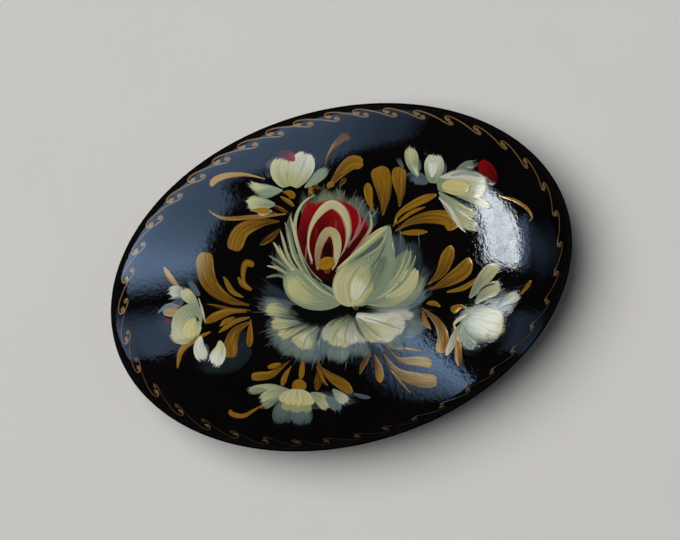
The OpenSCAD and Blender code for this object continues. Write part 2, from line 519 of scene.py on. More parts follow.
def solid(name: str, verts: np.ndarray, faces: list, finish: Finish, sharp: float = 35.0) -> bpy.types.Object:
    """Makes a mesh object of loose arrays.

    Args:
        name: The piece's name.
        verts: Points in metres.
        faces: Lists of point numbers.
        finish: The surface finish.
        sharp: Edges that turn more than this many degrees stay crisp.

    Returns:
        The object, linked to the scene.
    """
    mesh = bpy.data.meshes.new(name)
    mesh.from_pydata(verts.tolist(), [], faces)
    mesh.validate()
    mesh.shade_smooth()
    mesh.set_sharp_from_angle(angle=math.radians(sharp))
    mesh.materials.append(finish.material())
    return placed(name, mesh)


def report(piece: bpy.types.Object) -> bpy.types.Object:
    """Logs a finished piece and hands it back."""
    LOG.info("%s: %d faces", piece.name, len(piece.data.polygons))
    return piece


# ---- Paints and brush touches ----


class Paint(Enum):
    """Paints on the palette."""

    BLACK = linear(7, 5, 5)
    WHITE = linear(224, 228, 216)
    CREAM = linear(194, 190, 143)
    BUTTER = linear(204, 194, 132)
    PALE = linear(206, 205, 182)
    OLIVE = linear(166, 170, 120)
    SAGE = linear(132, 146, 118)
    MIST = linear(104, 122, 128)
    DUSK = linear(40, 56, 62)
    GREEN_BLACK = linear(3, 8, 4)
    CRIMSON = linear(136, 7, 15)
    MAROON = linear(66, 4, 9)
    WINE = linear(34, 2, 5)
    PINK = linear(150, 106, 98)
    TAN = linear(160, 138, 98)
    OCHRE = linear(150, 108, 26)
    YOLK = linear(158, 112, 18)
    UMBER = linear(92, 58, 18)
    GOLD = linear(170, 128, 66)
    BRONZE = linear(140, 108, 68)


(BLACK, WHITE, CREAM, BUTTER, PALE, OLIVE, SAGE, MIST, DUSK, GREEN_BLACK, CRIMSON, MAROON, WINE, PINK, TAN,
 OCHRE, YOLK, UMBER, GOLD, BRONZE) = Paint


# Where a bead's middle is and how long it is, as shares of the touch.
BEAD_AT = 0.05
BEAD_LENGTH = 0.04


@dataclass(frozen=True)
class Hand:
    """How the brush is pressed over a touch.

    Attributes:
        root: Share of the full width where the touch starts.
        belly: Place of the full width, from 0 at the start to 1 at the end.
        swell: How late the width comes up. 0.5 is round and 1.5 is a long tail.
        end: How the width goes. 0.5 is round, 0.25 is blunt and 1 is pointed.
        soft: How much load is lost at the sides.
        ragged: How far the bristles scatter at the end, in mm.
        relief: Height of the paint, in mm.
        fade: Length over which the load runs out at the end, in mm.
        bead: Share of the width in a bead at both ends.
        skip: How much load is lost halfway along.
    """

    root: float
    belly: float
    swell: float
    end: float
    soft: float
    ragged: float
    relief: float
    fade: float = 0.2
    bead: float = 0.0
    skip: float = 0.0

    def width(self, t: np.ndarray) -> np.ndarray:
        """Share of the full width at each place along the touch."""
        rise = np.sin(np.pi / 2 * np.clip(t / self.belly, 0, 1)) ** self.swell
        fall = np.cos(np.pi / 2 * np.clip((t - self.belly) / (1 - self.belly), 0, 1)) ** self.end
        near_end = (np.minimum(t, 1 - t) - BEAD_AT) / BEAD_LENGTH
        beads = self.bead * np.exp(-(near_end**2))
        return np.maximum((self.root + (1 - self.root) * rise) * fall + beads, 0.02)


class Manner(Enum):
    """The painter's kinds of touch."""

    PETAL = Hand(0.15, 0.66, 0.9, 0.5, 0.6, 0.3, 0.010, 0.9)
    FEATHER = Hand(0.25, 0.70, 0.8, 0.45, 0.8, 0.6, 0.006, 1.8)
    BLADE = Hand(0.25, 0.36, 0.6, 1.0, 0.3, 0.0, 0.014, 0.8)
    ARCH = Hand(0.2, 0.56, 4.0, 1.6, 0.2, 0.0, 0.008, 0.5)
    HAIR = Hand(0.3, 0.5, 0.8, 0.9, 0.5, 0.0, 0.003, 0.8)
    LOBE = Hand(0.30, 0.60, 0.7, 0.42, 0.4, 0.25, 0.012, 0.8)
    WASH = Hand(0.35, 0.62, 0.6, 0.45, 1.0, 0.55, 0.003, 2.6)
    LEAF = Hand(0.10, 0.72, 1.2, 0.6, 0.15, 0.05, 0.008)
    PRESS = Hand(0.10, 0.84, 1.2, 0.3, 0.2, 0.12, 0.010)
    LINE = Hand(0.22, 0.55, 0.8, 0.8, 0.3, 0.0, 0.006, 0.5)
    CURL = Hand(0.16, 0.88, 1.6, 0.5, 0.15, 0.0, 0.012)
    DAB = Hand(0.0, 0.5, 0.5, 0.5, 0.3, 0.04, 0.014, 0.3)
    SCROLL = Hand(0.6, 0.5, 0.8, 0.6, 0.2, 0.0, 0.010, 0.1, 2.1, 0.55)

    def stroke(self, width: float, paint: "Paint", *path: Point, tail: Optional["Paint"] = None,
               load: tuple[float, float] = (1.0, 1.0), film: float = 1.0) -> "Touch":
        """A touch made in this manner.

        Args:
            width: Full width, in mm.
            paint: The paint at the pressed end.
            *path: Points along the touch, in the bouquet's frame.
            tail: The paint at the thin end, if the brush carries two.
            load: How full the brush is at the start and at the end.
            film: How opaque the paint is.

        Returns:
            The touch.
        """
        return Touch(self, width, path, paint, tail, load, film)


@dataclass(frozen=True)
class Touch:
    """One touch of the brush, from where it is thin to where it is pressed.

    Attributes:
        manner: How the brush is held.
        width: Full width, in mm.
        path: Points along the touch, in the bouquet's frame.
        paint: The paint at the pressed end.
        tail: The paint at the thin end, if the brush carries two.
        load: How full the brush is at the start and at the end.
        film: How opaque the paint is.
    """

    manner: Manner
    width: float
    path: tuple[Point, ...]
    paint: Paint
    tail: Optional[Paint] = None
    load: tuple[float, float] = (1.0, 1.0)
    film: float = 1.0


def smooth_path(points: Sequence[Point], count: int) -> np.ndarray:
    """Evenly spaced places on a smooth curve through points.

    Args:
        points: Two or more points.
        count: How many places.

    Returns:
        An array of count rows.
    """
    knots = np.array(points, float)
    if len(knots) == 2:
        dense = knots[0] + np.linspace(0, 1, 60)[:, None] * (knots[1] - knots[0])
    else:
        ends = np.vstack([2 * knots[0] - knots[1], knots, 2 * knots[-1] - knots[-2]])
        u = np.linspace(0, 1, 30, endpoint=False)[:, None]
        spans = []
        for a, b, c, d in zip(ends, ends[1:], ends[2:], ends[3:]):
            spans.append(
                0.5 * (2 * b + (c - a) * u
                       + (2 * a - 5 * b + 4 * c - d) * u**2
                       + (3 * b - a - 3 * c + d) * u**3)
            )
        dense = np.vstack([*spans, knots[-1:]])
    run = np.concatenate([[0], np.cumsum(np.linalg.norm(np.diff(dense, axis=0), axis=1))])
    even = np.linspace(0, run[-1], count)
    return np.stack([np.interp(even, run, dense[:, k]) for k in (0, 1)], -1)


# Lengths in mm. A touch's underside is closed a little below the lacquer.
SUNK = 0.012
END_LENGTH = 0.25
# Pitch of a touch's grid, with the fewest and the most cells: along it, and across half of it.
ALONG = (0.3, 8, 44)
ACROSS = (0.5, 2, 8)
# Share of its load that a spent brush still leaves.
LEFT = 0.12


def cells(size: float, pitch: float, fewest: int, most: int) -> int:
    """How many cells of about that pitch fill a size."""
    return int(np.clip(math.ceil(size / pitch), fewest, most))


@dataclass
class Patch:
    """The grid of one touch, before it is laid on the dome. Arrays run along the touch, then across it."""

    plan: np.ndarray
    uv: np.ndarray
    load: np.ndarray
    colour: np.ndarray
    relief: np.ndarray


def brush(touch: Touch, seed: int) -> Patch:
    """Works out the grid of a touch.

    Args:
        touch: The touch.
        seed: Sets its bristles.

    Returns:
        Its grid.
    """
    hand = touch.manner.value
    length = float(np.linalg.norm(np.diff(smooth_path(touch.path, 24), axis=0), axis=1).sum())
    rows = cells(length, *ALONG) + 1
    cols = 2 * cells(touch.width, *ACROSS) + 1
    even = np.linspace(0, 1, rows)
    t = 0.5 * (0.5 - 0.5 * np.cos(np.pi * even)) + 0.5 * even
    middle = smooth_path(touch.path, 200)
    spine = np.stack([np.interp(t, np.linspace(0, 1, len(middle)), middle[:, k]) for k in (0, 1)], -1)
    ahead = np.gradient(spine, axis=0)
    ahead /= np.linalg.norm(ahead, axis=1, keepdims=True)
    side = np.stack([-ahead[:, 1], ahead[:, 0]], -1)
    v = np.linspace(-1, 1, cols)
    half = touch.width / 2 * hand.width(t)
    plan = spine[:, None, :] + side[:, None, :] * (half[:, None] * v[None, :])[..., None]
    rng = np.random.default_rng(seed)
    scatter = rng.uniform(-1, 0.4, cols) * hand.ragged * np.clip(t, 0, 1)[:, None] ** 2
    plan = plan + ahead[:, None, :] * scatter[..., None]
    start, finish = touch.load
    ease = t * t * (3 - 2 * t)
    load = (start + (finish - start) * ease)[:, None] * (1 - hand.soft * np.abs(v)[None, :] ** 3)
    close = np.minimum(1, np.minimum(t, 1 - t) * length / END_LENGTH)[:, None]
    spent = np.clip((1 - t) * length / hand.fade, 0, 1)[:, None]
    load = load * (LEFT + (1 - LEFT) * spent * spent * (3 - 2 * spent)) * (1 - 0.5 * hand.soft * (1 - close))
    load = load * (1 - hand.skip * np.sin(np.pi * t) ** 2)[:, None]
    blend = ease[:, None, None]
    tail = np.array((touch.tail or touch.paint).value)
    colour = tail + (np.array(touch.paint.value) - tail) * np.broadcast_to(blend, (rows, cols, 1))
    crest = np.sqrt(np.clip(1 - v**2, 0, 1))[None, :] * np.sqrt(np.clip(close, 0, 1)) * hand.relief
    along = t * length + 41.3 * (seed % 97)
    across = v * touch.width / 2 + 13.7 * (seed // 97 + seed % 13)
    uv = np.stack(np.broadcast_arrays(along[:, None], across[None, :]), -1)
    return Patch(plan, uv, load, colour, crest)


class Ground:
    """Remembers what is painted so far: its colour and how high it stands.

    Attributes:
        PITCH: Size of its cells, in mm.
        STEP: Height of a touch's edge over what it lies on, in mm.
        FINER: How many cells of a touch's grid are made of one before it is laid.
        NEAR: How many cells away a touch still feels what stands high.
    """

    PITCH = 0.1
    STEP = 0.004
    FINER = 6
    NEAR = 4

    def __init__(self, dome: Dome) -> None:
        """Starts with bare lacquer."""
        self.reach = dome.half_l + 1
        cells = int(2 * self.reach / self.PITCH) + 1
        self.colour = np.tile(np.array(BLACK.value), (cells, cells, 1))
        self.rise = np.zeros((cells, cells))

    def cells(self, plan: np.ndarray) -> tuple[np.ndarray, np.ndarray]:
        """The cells that plan points fall in."""
        last = len(self.rise) - self.NEAR - 1
        at = np.clip(((plan + self.reach) / self.PITCH).astype(int), self.NEAR, last)
        return at[..., 1], at[..., 0]

    def under(self, plan: np.ndarray) -> tuple[np.ndarray, np.ndarray]:
        """Colour under plan points, and the greatest height near them."""
        row, col = self.cells(plan)
        steps = range(-self.NEAR, self.NEAR + 1, 2)
        near = [self.rise[row + j, col + i] for j in steps for i in steps]
        close = np.max(near[6:9] + near[11:14] + near[16:19], axis=0)
        eased = np.pad(np.max(near, axis=0), 1, mode="edge")
        eased = (eased[:-2] + 2 * eased[1:-1] + eased[2:]) / 4
        eased = (eased[:, :-2] + 2 * eased[:, 1:-1] + eased[:, 2:]) / 4
        return self.colour[row, col], np.maximum(eased, close)

    def lay(self, patch: Patch, paint: np.ndarray, top: np.ndarray) -> None:
        """Adds a touch to what is remembered."""

        def finer(grid: np.ndarray) -> np.ndarray:
            for axis in (0, 1):
                count = grid.shape[axis]
                at = np.linspace(0, count - 1, self.FINER * (count - 1) + 1)
                low = np.minimum(at.astype(int), count - 2)
                share = (at - low).reshape([-1 if k == axis else 1 for k in range(grid.ndim)])
                grid = np.take(grid, low, axis) * (1 - share) + np.take(grid, low + 1, axis) * share
            return grid

        row, col = self.cells(finer(patch.plan))
        load = np.clip((finer(patch.load) - 0.15) / 0.6, 0, 1)[..., None]
        self.colour[row, col] = self.colour[row, col] * (1 - load) + finer(paint) * load
        self.rise[row, col] = np.maximum(self.rise[row, col], finer(top))


@dataclass
class Painter:
    """Turns touches into meshes on the dome, in the order they are painted."""

    dome: Dome
    ground: Ground
    count: int = 0

    def paint(self, name: str, touches: Sequence[Touch], finish: Brushwork) -> bpy.types.Object:
        """Paints a group of touches as one piece.

        Args:
            name: The piece's name.
            touches: The touches, the lowest first.
            finish: Their finish.

        Returns:
            The piece, which rides on the brooch.
        """
        batch = PatchMesh()
        for touch in touches:
            self.count += 1
            patch = brush(touch, 7 * self.count)
            under, height = self.ground.under(patch.plan)
            paint = under + (patch.colour - under) * touch.film
            top = height + Ground.STEP + patch.relief
            self.ground.lay(patch, paint, top)
            upper = self.dome.lift(self.dome.on_oval(patch.plan), top)
            lower = self.dome.lift(self.dome.on_oval(patch.plan), np.full(top.shape, -SUNK))
            batch.add(upper, lower, patch, paint, under)
        piece = batch.build(name, finish)
        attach(piece, "brooch")
        return report(piece)


class PatchMesh:
    """Collects closed touches and makes one mesh of them."""

    def __init__(self) -> None:
        """Starts empty."""
        self.verts: list[np.ndarray] = []
        self.faces: list[list[int]] = []
        self.rows: dict[str, list[np.ndarray]] = {"uv": [], "load": [], "paint": [], "ground": []}
        self.size = 0

    def add(self, upper: np.ndarray, lower: np.ndarray, patch: Patch, paint: np.ndarray,
            under: np.ndarray) -> None:
        """Adds one touch: its upper and lower grids, and what the finish reads."""
        rows, cols = upper.shape[:2]
        number = np.arange(rows * cols).reshape(rows, cols) + self.size
        below = number + rows * cols
        quads = np.stack([number[:-1, :-1], number[1:, :-1], number[1:, 1:], number[:-1, 1:]], -1)
        quads = quads.reshape(-1, 4)
        self.faces += quads.tolist()
        self.faces += (quads[:, ::-1] + rows * cols).tolist()
        rim = [*number[0, :], *number[1:, -1], *number[-1, -2::-1], *number[-2:0:-1, 0]]
        deep = [*below[0, :], *below[1:, -1], *below[-1, -2::-1], *below[-2:0:-1, 0]]
        for k in range(len(rim)):
            n = (k + 1) % len(rim)
            self.faces.append([int(rim[k]), int(rim[n]), int(deep[n]), int(deep[k])])
        self.verts += [upper.reshape(-1, 3), lower.reshape(-1, 3)]
        for key, grid in (("uv", patch.uv), ("load", patch.load), ("paint", paint), ("ground", under)):
            flat = grid.reshape(rows * cols, -1)
            self.rows[key] += [flat, flat]
        self.size += 2 * rows * cols

    def build(self, name: str, finish: Finish) -> bpy.types.Object:
        """Makes the mesh object."""
        piece = solid(name, np.vstack(self.verts), self.faces, finish)
        mesh = piece.data
        corner = np.zeros(len(mesh.loops), int)
        mesh.loops.foreach_get("vertex_index", corner)
        uv = mesh.uv_layers.new(name="touch")
        uv.data.foreach_set("uv", np.vstack(self.rows["uv"])[corner].ravel())
        load = mesh.attributes.new("load", "FLOAT", "POINT")
        load.data.foreach_set("value", np.vstack(self.rows["load"]).ravel())
        for key in ("paint", "ground"):
            colours = np.vstack(self.rows[key])
            colours = np.hstack([colours, np.ones((len(colours), 1))])
            layer = mesh.attributes.new(key, "FLOAT_COLOR", "POINT")
            layer.data.foreach_set("color", colours.ravel())
        return piece


PETAL, FEATHER, BLADE, ARCH, HAIR, LOBE, WASH, LEAF, PRESS, LINE, CURL, DAB, SCROLL = (
    manner.stroke for manner in Manner)


def feathered(touches: Sequence[Touch], hairs: int, reach: float) -> list[Touch]:
    """Adds the fine lines that stray bristles leave past the end of each touch.

    Args:
        touches: The touches.
        hairs: How many lines each touch gets.
        reach: How far they go past its end, in mm.

    Returns:
        The touches, each followed by its lines.
    """
    made = []
    for touch in touches:
        made.append(touch)
        if touch.manner not in (Manner.PETAL, Manner.FEATHER, Manner.LOBE, Manner.WASH):
            continue
        spine = smooth_path(touch.path, 20)
        root, knee, tip = spine[9], spine[14], spine[-1]
        ahead = tip - spine[-4]
        ahead /= np.linalg.norm(ahead)
        side = np.array([-ahead[1], ahead[0]])
        rng = np.random.default_rng(len(made) + hairs)
        for k in range(hairs):
            across = (2 * (k + rng.uniform(0.2, 0.8)) / hairs - 1) * touch.width / 2
            past = rng.uniform(0.1, 1.0) - 1.1 * (across / touch.width * 2) ** 2
            stop = tip + ahead * reach * past
            path = (root + side * across * 0.45, knee + side * across * 0.85, stop + side * across)
            width = rng.uniform(0.12, 0.22)
            film = touch.film * rng.uniform(0.3, 0.65)
            made.append(HAIR(width, touch.paint, *[tuple(p) for p in path], film=film, load=(0.6, 0.9)))
    return made


# ---- The bouquet ----


@dataclass
class Spray:
    """A part of the bouquet that is painted in one sitting."""

    painter: Painter
    finish: Brushwork = field(default_factory=Brushwork)

    def touches(self) -> dict[str, list[Touch]]:
        """The touches of each piece, the lowest first."""
        raise NotImplementedError

    def build(self) -> None:
        """Paints every piece of the spray."""
        for name, touches in self.touches().items():
            self.painter.paint(name, touches, self.finish)


@dataclass
class Haze(Spray):
    """Thin grey-blue paint, let dry before the flowers go over it."""

    finish: Brushwork = field(default_factory=lambda: Brushwork("haze_paint", furrows=0.015, spread=0.9))

    def touches(self) -> dict[str, list[Touch]]:
        """The thin paint under the rose and round the blossoms."""
        return {
            "rose_haze": feathered([
                WASH(3.0, DUSK, (-7, -3.4), (-11.8, -0.8), load=(0.8, 0.6), film=0.7),
                WASH(3.2, MIST, (-6, -4.4), (-12.4, -3.4), load=(0.9, 0.6), film=0.5),
                WASH(4.4, MIST, (-6, -6), (-11.2, -8.2), load=(0.9, 0.6), film=0.5),
                WASH(4.6, MIST, (-5, -6), (-9.2, -10.8), load=(0.9, 0.8), film=0.75),
                WASH(5.6, MIST, (-3, -6), (-5.6, -12.4), load=(0.9, 0.8), film=0.85),
                WASH(5.0, MIST, (0.3, -5), (-1.4, -12.4), load=(1.0, 0.85), film=0.9),
                WASH(4.6, MIST, (1.6, -5), (2.2, -11.8), load=(0.9, 0.75), film=0.75),
                WASH(5.2, MIST, (4, -5), (7.4, -10.4), load=(0.9, 0.7), film=0.7),
                WASH(5.0, MIST, (5, -5), (9, -6.6), (12.0, -7.2), load=(0.9, 0.75), film=0.75),
                WASH(3.6, MIST, (5, -4), (9, -4), (12.2, -3.2), load=(0.9, 0.6), film=0.5),
                WASH(3.0, DUSK, (6.6, -2), (10.8, 0.2), (12.2, 2.4), load=(0.9, 0.6), film=0.7),
                WASH(4.6, DUSK, (6.8, -2.6), (9.0, 1.6), (8.8, 6.0), load=(1.0, 0.7), film=0.8),
                WASH(2.6, MIST, (6.8, 0), (7.6, 4), (7.0, 7.4), load=(0.9, 0.6), film=0.4),
                WASH(4.0, SAGE, (-3, 6), (-4.8, 12.0), load=(0.9, 0.6), film=0.45),
                WASH(4.8, SAGE, (-1.5, 6), (-1.2, 13.0), load=(0.9, 0.75), film=0.65),
                WASH(4.0, SAGE, (0, 6), (3.2, 11.6), load=(0.9, 0.7), film=0.5),
                WASH(3.0, MIST, (1, 5), (5.4, 9.6), load=(0.9, 0.6), film=0.45),
            ], 2, 0.1),
            "blossom_haze": [
                WASH(1.8, PINK, (-10.2, 15.2), (-6.4, 17), load=(0.8, 0.5), film=0.35),
                WASH(1.6, MIST, (-9.8, 13.5), (-10.4, 16), load=(0.6, 0.4), film=0.3),
                WASH(1.0, DUSK, (-3.9, 13.5), (-3.2, 15.2), film=0.9),
                WASH(4.4, DUSK, (-12.4, -9.4), (-15.4, -11.2), (-20.8, -11.8), load=(0.9, 0.6), film=0.42),
                WASH(3.0, DUSK, (-12.6, -7.6), (-14.8, -9.4), (-16.4, -12.4), load=(0.8, 0.6), film=0.32),
                WASH(2.8, MIST, (-8, -17), (-8.3, -20.6), load=(0.9, 0.8), film=0.5),
                WASH(3.2, MIST, (-5.6, -17.6), (-5.4, -20.8), load=(0.9, 0.8), film=0.55),
                WASH(1.3, MIST, (-19.3, -2.5), (-20.5, -0.8), (-21.6, 0.6), load=(0.9, 0.5), film=0.5),
                WASH(2.4, MIST, (-18.6, -9), (-19.4, -12.6), load=(0.9, 0.6), film=0.45),
                WASH(3.0, MIST, (-20.4, -4), (-20.6, -9.6), load=(0.9, 0.6), film=0.4),
                WASH(2.0, MIST, (-21.6, -3), (-24.8, -5.8), load=(0.9, 0.6), film=0.45),
                WASH(3.0, MIST, (-12, -15), (-6, -16.6), (0, -16.6), (3.4, -16.4), load=(0.8, 0.6), film=0.3),
                WASH(3.6, MIST, (14.6, 13.4), (18, 13), (20.4, 12), load=(0.9, 0.7), film=0.6),
                WASH(3.4, DUSK, (14.4, 10.6), (18, 7), load=(0.9, 0.6), film=0.7),
                WASH(2.6, MIST, (19.4, -2.6), (23.4, -2.4), load=(0.9, 0.6), film=0.5),
                WASH(3.6, MIST, (16.8, -8), (19, -10), load=(0.9, 0.6), film=0.5),
                WASH(2.4, MIST, (11.8, 13), (9.6, 13.5), (8.6, 12), load=(0.9, 0.6), film=0.6),
                WASH(0.9, MIST, (8.4, 14.8), (7.6, 16.4), (7.2, 17.4), load=(0.9, 0.6), film=0.55),
                WASH(0.9, MIST, (10.6, 14.5), (10.5, 17), film=0.6),
                WASH(0.9, MIST, (14, 14), (14.1, 16.4), film=0.5),
                WASH(1.0, MIST, (11.4, 16.5), (11.8, 17.8), film=0.4),
            ],
        }


@dataclass
class Foliage(Spray):
    """Ochre comma leaves and curling tendrils, each one pull of a pointed brush."""

    # Its glint colour is a painted highlight, mixed in patches into the ochre.
    finish: Brushwork = field(default_factory=lambda: Brushwork(
        "ochre_paint", furrows=0.035, metal=0.25, glint=linear(186, 142, 50)))

    def touches(self) -> dict[str, list[Touch]]:
        """The leaves round the bouquet, then the tendrils."""
        return {
            "leaves_left": [replace(touch, film=touch.film * 0.8) for touch in self.left()],
            "leaves_top": self.top(),
            "leaves_right": self.right(),
            "leaves_bottom": self.bottom(),
            "tendrils": self.tendrils(),
        }

    @staticmethod
    def left() -> list[Touch]:
        """Leaves on the left."""
        return [
            PRESS(2.3, OCHRE, (-8.4, 7.6), (-11, 7.4), (-13.6, 6.2), (-14.7, 3.6), tail=UMBER),
            LINE(0.9, UMBER, (-8.2, 6.6), (-9.5, 5.5), (-11.2, 4.3), film=0.8),
            PRESS(2.4, OCHRE, (-12.5, -3.8), (-15.3, -3), (-17.6, -1.2), (-18.5, 1), (-18.5, 3.5),
                  tail=UMBER),
            LINE(0.7, OCHRE, (-13.3, -2.7), (-14.8, -1.9), (-15.8, -0.2), (-16.2, 0.2)),
            CURL(0.9, OCHRE, (-12.1, -1.6), (-13.2, -0.6), (-13.3, 1), (-12.9, 2), (-11.8, 1.6)),
            LINE(0.6, OCHRE, (-12.2, -1.8), (-13.4, -1), (-14.1, 0.2)),
            LINE(0.5, UMBER, (-12.3, -4.5), (-15, -4.3), (-18.4, -3.6)),
            LEAF(1.2, OCHRE, (-12.9, -4.7), (-15, -4.6), (-17, -5.3), (-18.6, -6.2)),
            LINE(0.7, OCHRE, (-12.4, -5.4), (-14.5, -6), (-16.8, -7.6)),
            LINE(0.6, OCHRE, (-14.5, -5.4), (-15.8, -6), (-16.6, -6.8)),
            PRESS(1.9, OCHRE, (-12.2, -5.9), (-14.2, -7.2), (-15, -9), (-15.1, -11), tail=UMBER),
            LEAF(0.9, OCHRE, (-12.3, -5.7), (-12.4, -7.5), (-12.5, -9.5)),
            LEAF(1.0, OCHRE, (-8, 11.6), (-7, 11.4), (-6.4, 10.7)),
            LINE(0.6, OCHRE, (-8.3, 11), (-7.2, 10.3), (-6.3, 9.5)),
            LINE(0.5, UMBER, (-9.8, 10), (-8.3, 9.3), (-7, 8.7)),
            LINE(0.3, UMBER, (-10, 9), (-8.4, 8.5)),
        ]

    @staticmethod
    def top() -> list[Touch]:
        """Leaves over the rose."""
        return [
            PRESS(1.9, OCHRE, (-1.9, 12), (-0.9, 13.3), (0.2, 14.6), (1.5, 15.6), (3, 15.4), tail=UMBER),
            DAB(0.8, OCHRE, (-2.0, 12.3), (-0.9, 12.9)),
            LINE(0.6, UMBER, (-0.3, 12.4), (0.7, 13.6), film=0.7),
            LEAF(1.2, OCHRE, (4.3, 9), (3.8, 10.5), (3.5, 12.9)),
            PRESS(2.6, OCHRE, (5.6, 8.4), (5.8, 10.5), (5.6, 12.8), (5, 15.1), tail=UMBER),
            PRESS(2.0, OCHRE, (7.8, 9.6), (8, 11.5), (7.8, 13.2), (7.9, 15), tail=UMBER),
            LINE(0.3, UMBER, (-3.3, 12.8), (-3.4, 11.6)),
            LINE(0.5, OCHRE, (-4.2, 12.6), (-4.3, 11)),
            LEAF(1.1, OCHRE, (7, 6.9), (7.9, 8.7), (10.5, 10.3), (13, 11.3)),
            LINE(0.5, OCHRE, (7.3, 7.2), (9.5, 8.8), (11.5, 9.6)),
            PRESS(2.0, OCHRE, (7.3, 6.3), (9.5, 7.6), (12.3, 8.2), (14.6, 7.8), (15, 6.3), tail=UMBER),
            LINE(0.8, OCHRE, (8, 6), (11.8, 6.2)),
        ]

    @staticmethod
    def right() -> list[Touch]:
        """Leaves on the right."""
        return [
            LEAF(1.8, OCHRE, (11.7, -1), (13.4, 0.6), (14.3, 2.6), (14.9, 4.4), tail=UMBER),
            LEAF(2.1, OCHRE, (12, -1.7), (14.6, -0.4), (16.6, 1), (17.4, 2.7), tail=UMBER),
            LINE(0.7, OCHRE, (14.3, -2), (16.6, -1.4), (18.6, 0)),
            LINE(0.7, OCHRE, (13.4, -4), (12.6, -3.5), (11.4, -3.5)),
            CURL(1.1, OCHRE, (17, -4.1), (16, -4), (14.9, -4.6)),
            PRESS(1.6, OCHRE, (10.8, -4.1), (12.9, -5.9), (13.8, -8), (13.4, -10.4), tail=UMBER),
            LINE(0.7, OCHRE, (11, -4.6), (11.4, -6), (12.2, -7.1)),
            LEAF(1.0, OCHRE, (15.2, -6), (15.8, -9), (16, -12.2)),
            LINE(0.6, OCHRE, (24.6, -2.2), (26, -0.3)),
        ]

    @staticmethod
    def bottom() -> list[Touch]:
        """Leaves under the rose."""
        return [
            PRESS(1.9, OCHRE, (5.6, -10.2), (7.5, -12.8), (10.4, -13.9), (13.1, -14.2), tail=UMBER),
            PRESS(1.4, OCHRE, (6.4, -9.8), (8, -11.2), (10.3, -11.4), (12.4, -11.7), tail=UMBER),
            LINE(0.3, OCHRE, (6, -9.6), (8, -9.6), (11.5, -10)),
            LEAF(1.2, OCHRE, (4.4, -10.3), (5, -12), (5.3, -14.4), tail=UMBER),
            LINE(0.7, UMBER, (4, -10), (3, -11.8), (2.4, -13.3)),
            LINE(0.25, OCHRE, (6.6, -12.5), (8, -14.2), (9.6, -16)),
            PRESS(1.2, OCHRE, (-7, -11.3), (-9.4, -13.1), (-11, -13.4), (-12.3, -13.5), tail=UMBER),
            LINE(0.7, OCHRE, (-8.2, -11.7), (-10.2, -12.3)),
            LEAF(0.8, OCHRE, (-6.8, -12), (-7.6, -13.3), (-8.1, -14.8)),
            LINE(0.8, OCHRE, (-5.3, -11.4), (-5.4, -13), (-5.6, -14)),
            DAB(2.0, OCHRE, (-5.8, -13.8), (-5.7, -15.7)),
            LEAF(1.0, UMBER, (-3.3, -11), (-3, -12.5), (-3.4, -15.5)),
            LINE(0.6, UMBER, (-3.4, -12), (-2.5, -14), (-1.8, -14.8)),
            LEAF(1.5, OCHRE, (-3.2, -11.8), (-1.6, -13.4), (0.2, -14.6), (1.5, -15.8), tail=UMBER),
        ]

    @staticmethod
    def tendrils() -> list[Touch]:
        """Thin curls at the ends of the bouquet."""
        return [
            CURL(0.9, GOLD, (-10.4, 13.4), (-13, 14), (-15.6, 13.9), (-17.2, 13.3), (-17.9, 12.4)),
            LINE(0.6, GOLD, (-7.5, 8.6), (-12, 8.2), (-15.7, 8), (-17.5, 8.7), (-18.2, 9.3), film=0.7),
            LINE(0.8, GOLD, (-21.8, -1.8), (-23.2, -0.2), (-24.3, 1.6), film=0.8),
            LINE(0.8, OCHRE, (-17.8, -7.4), (-20, -8.5), (-21.8, -10), (-22.4, -12.6)),
            CURL(0.7, OCHRE, (-10, -17), (-11.6, -17.9), (-13.4, -18.9), (-15, -18.6), (-15.1, -18)),
            CURL(1.0, UMBER, (-2.2, 15.3), (-1.9, 16.3), (-1.2, 17.6), (-0.4, 18.5), (0.5, 19.2),
                 (1.1, 18.6)),
            LINE(0.45, GOLD, (21.5, 11.1), (23.6, 10.5), (25.3, 9.4), (26, 8.2), (25.4, 7.5)),
        ]


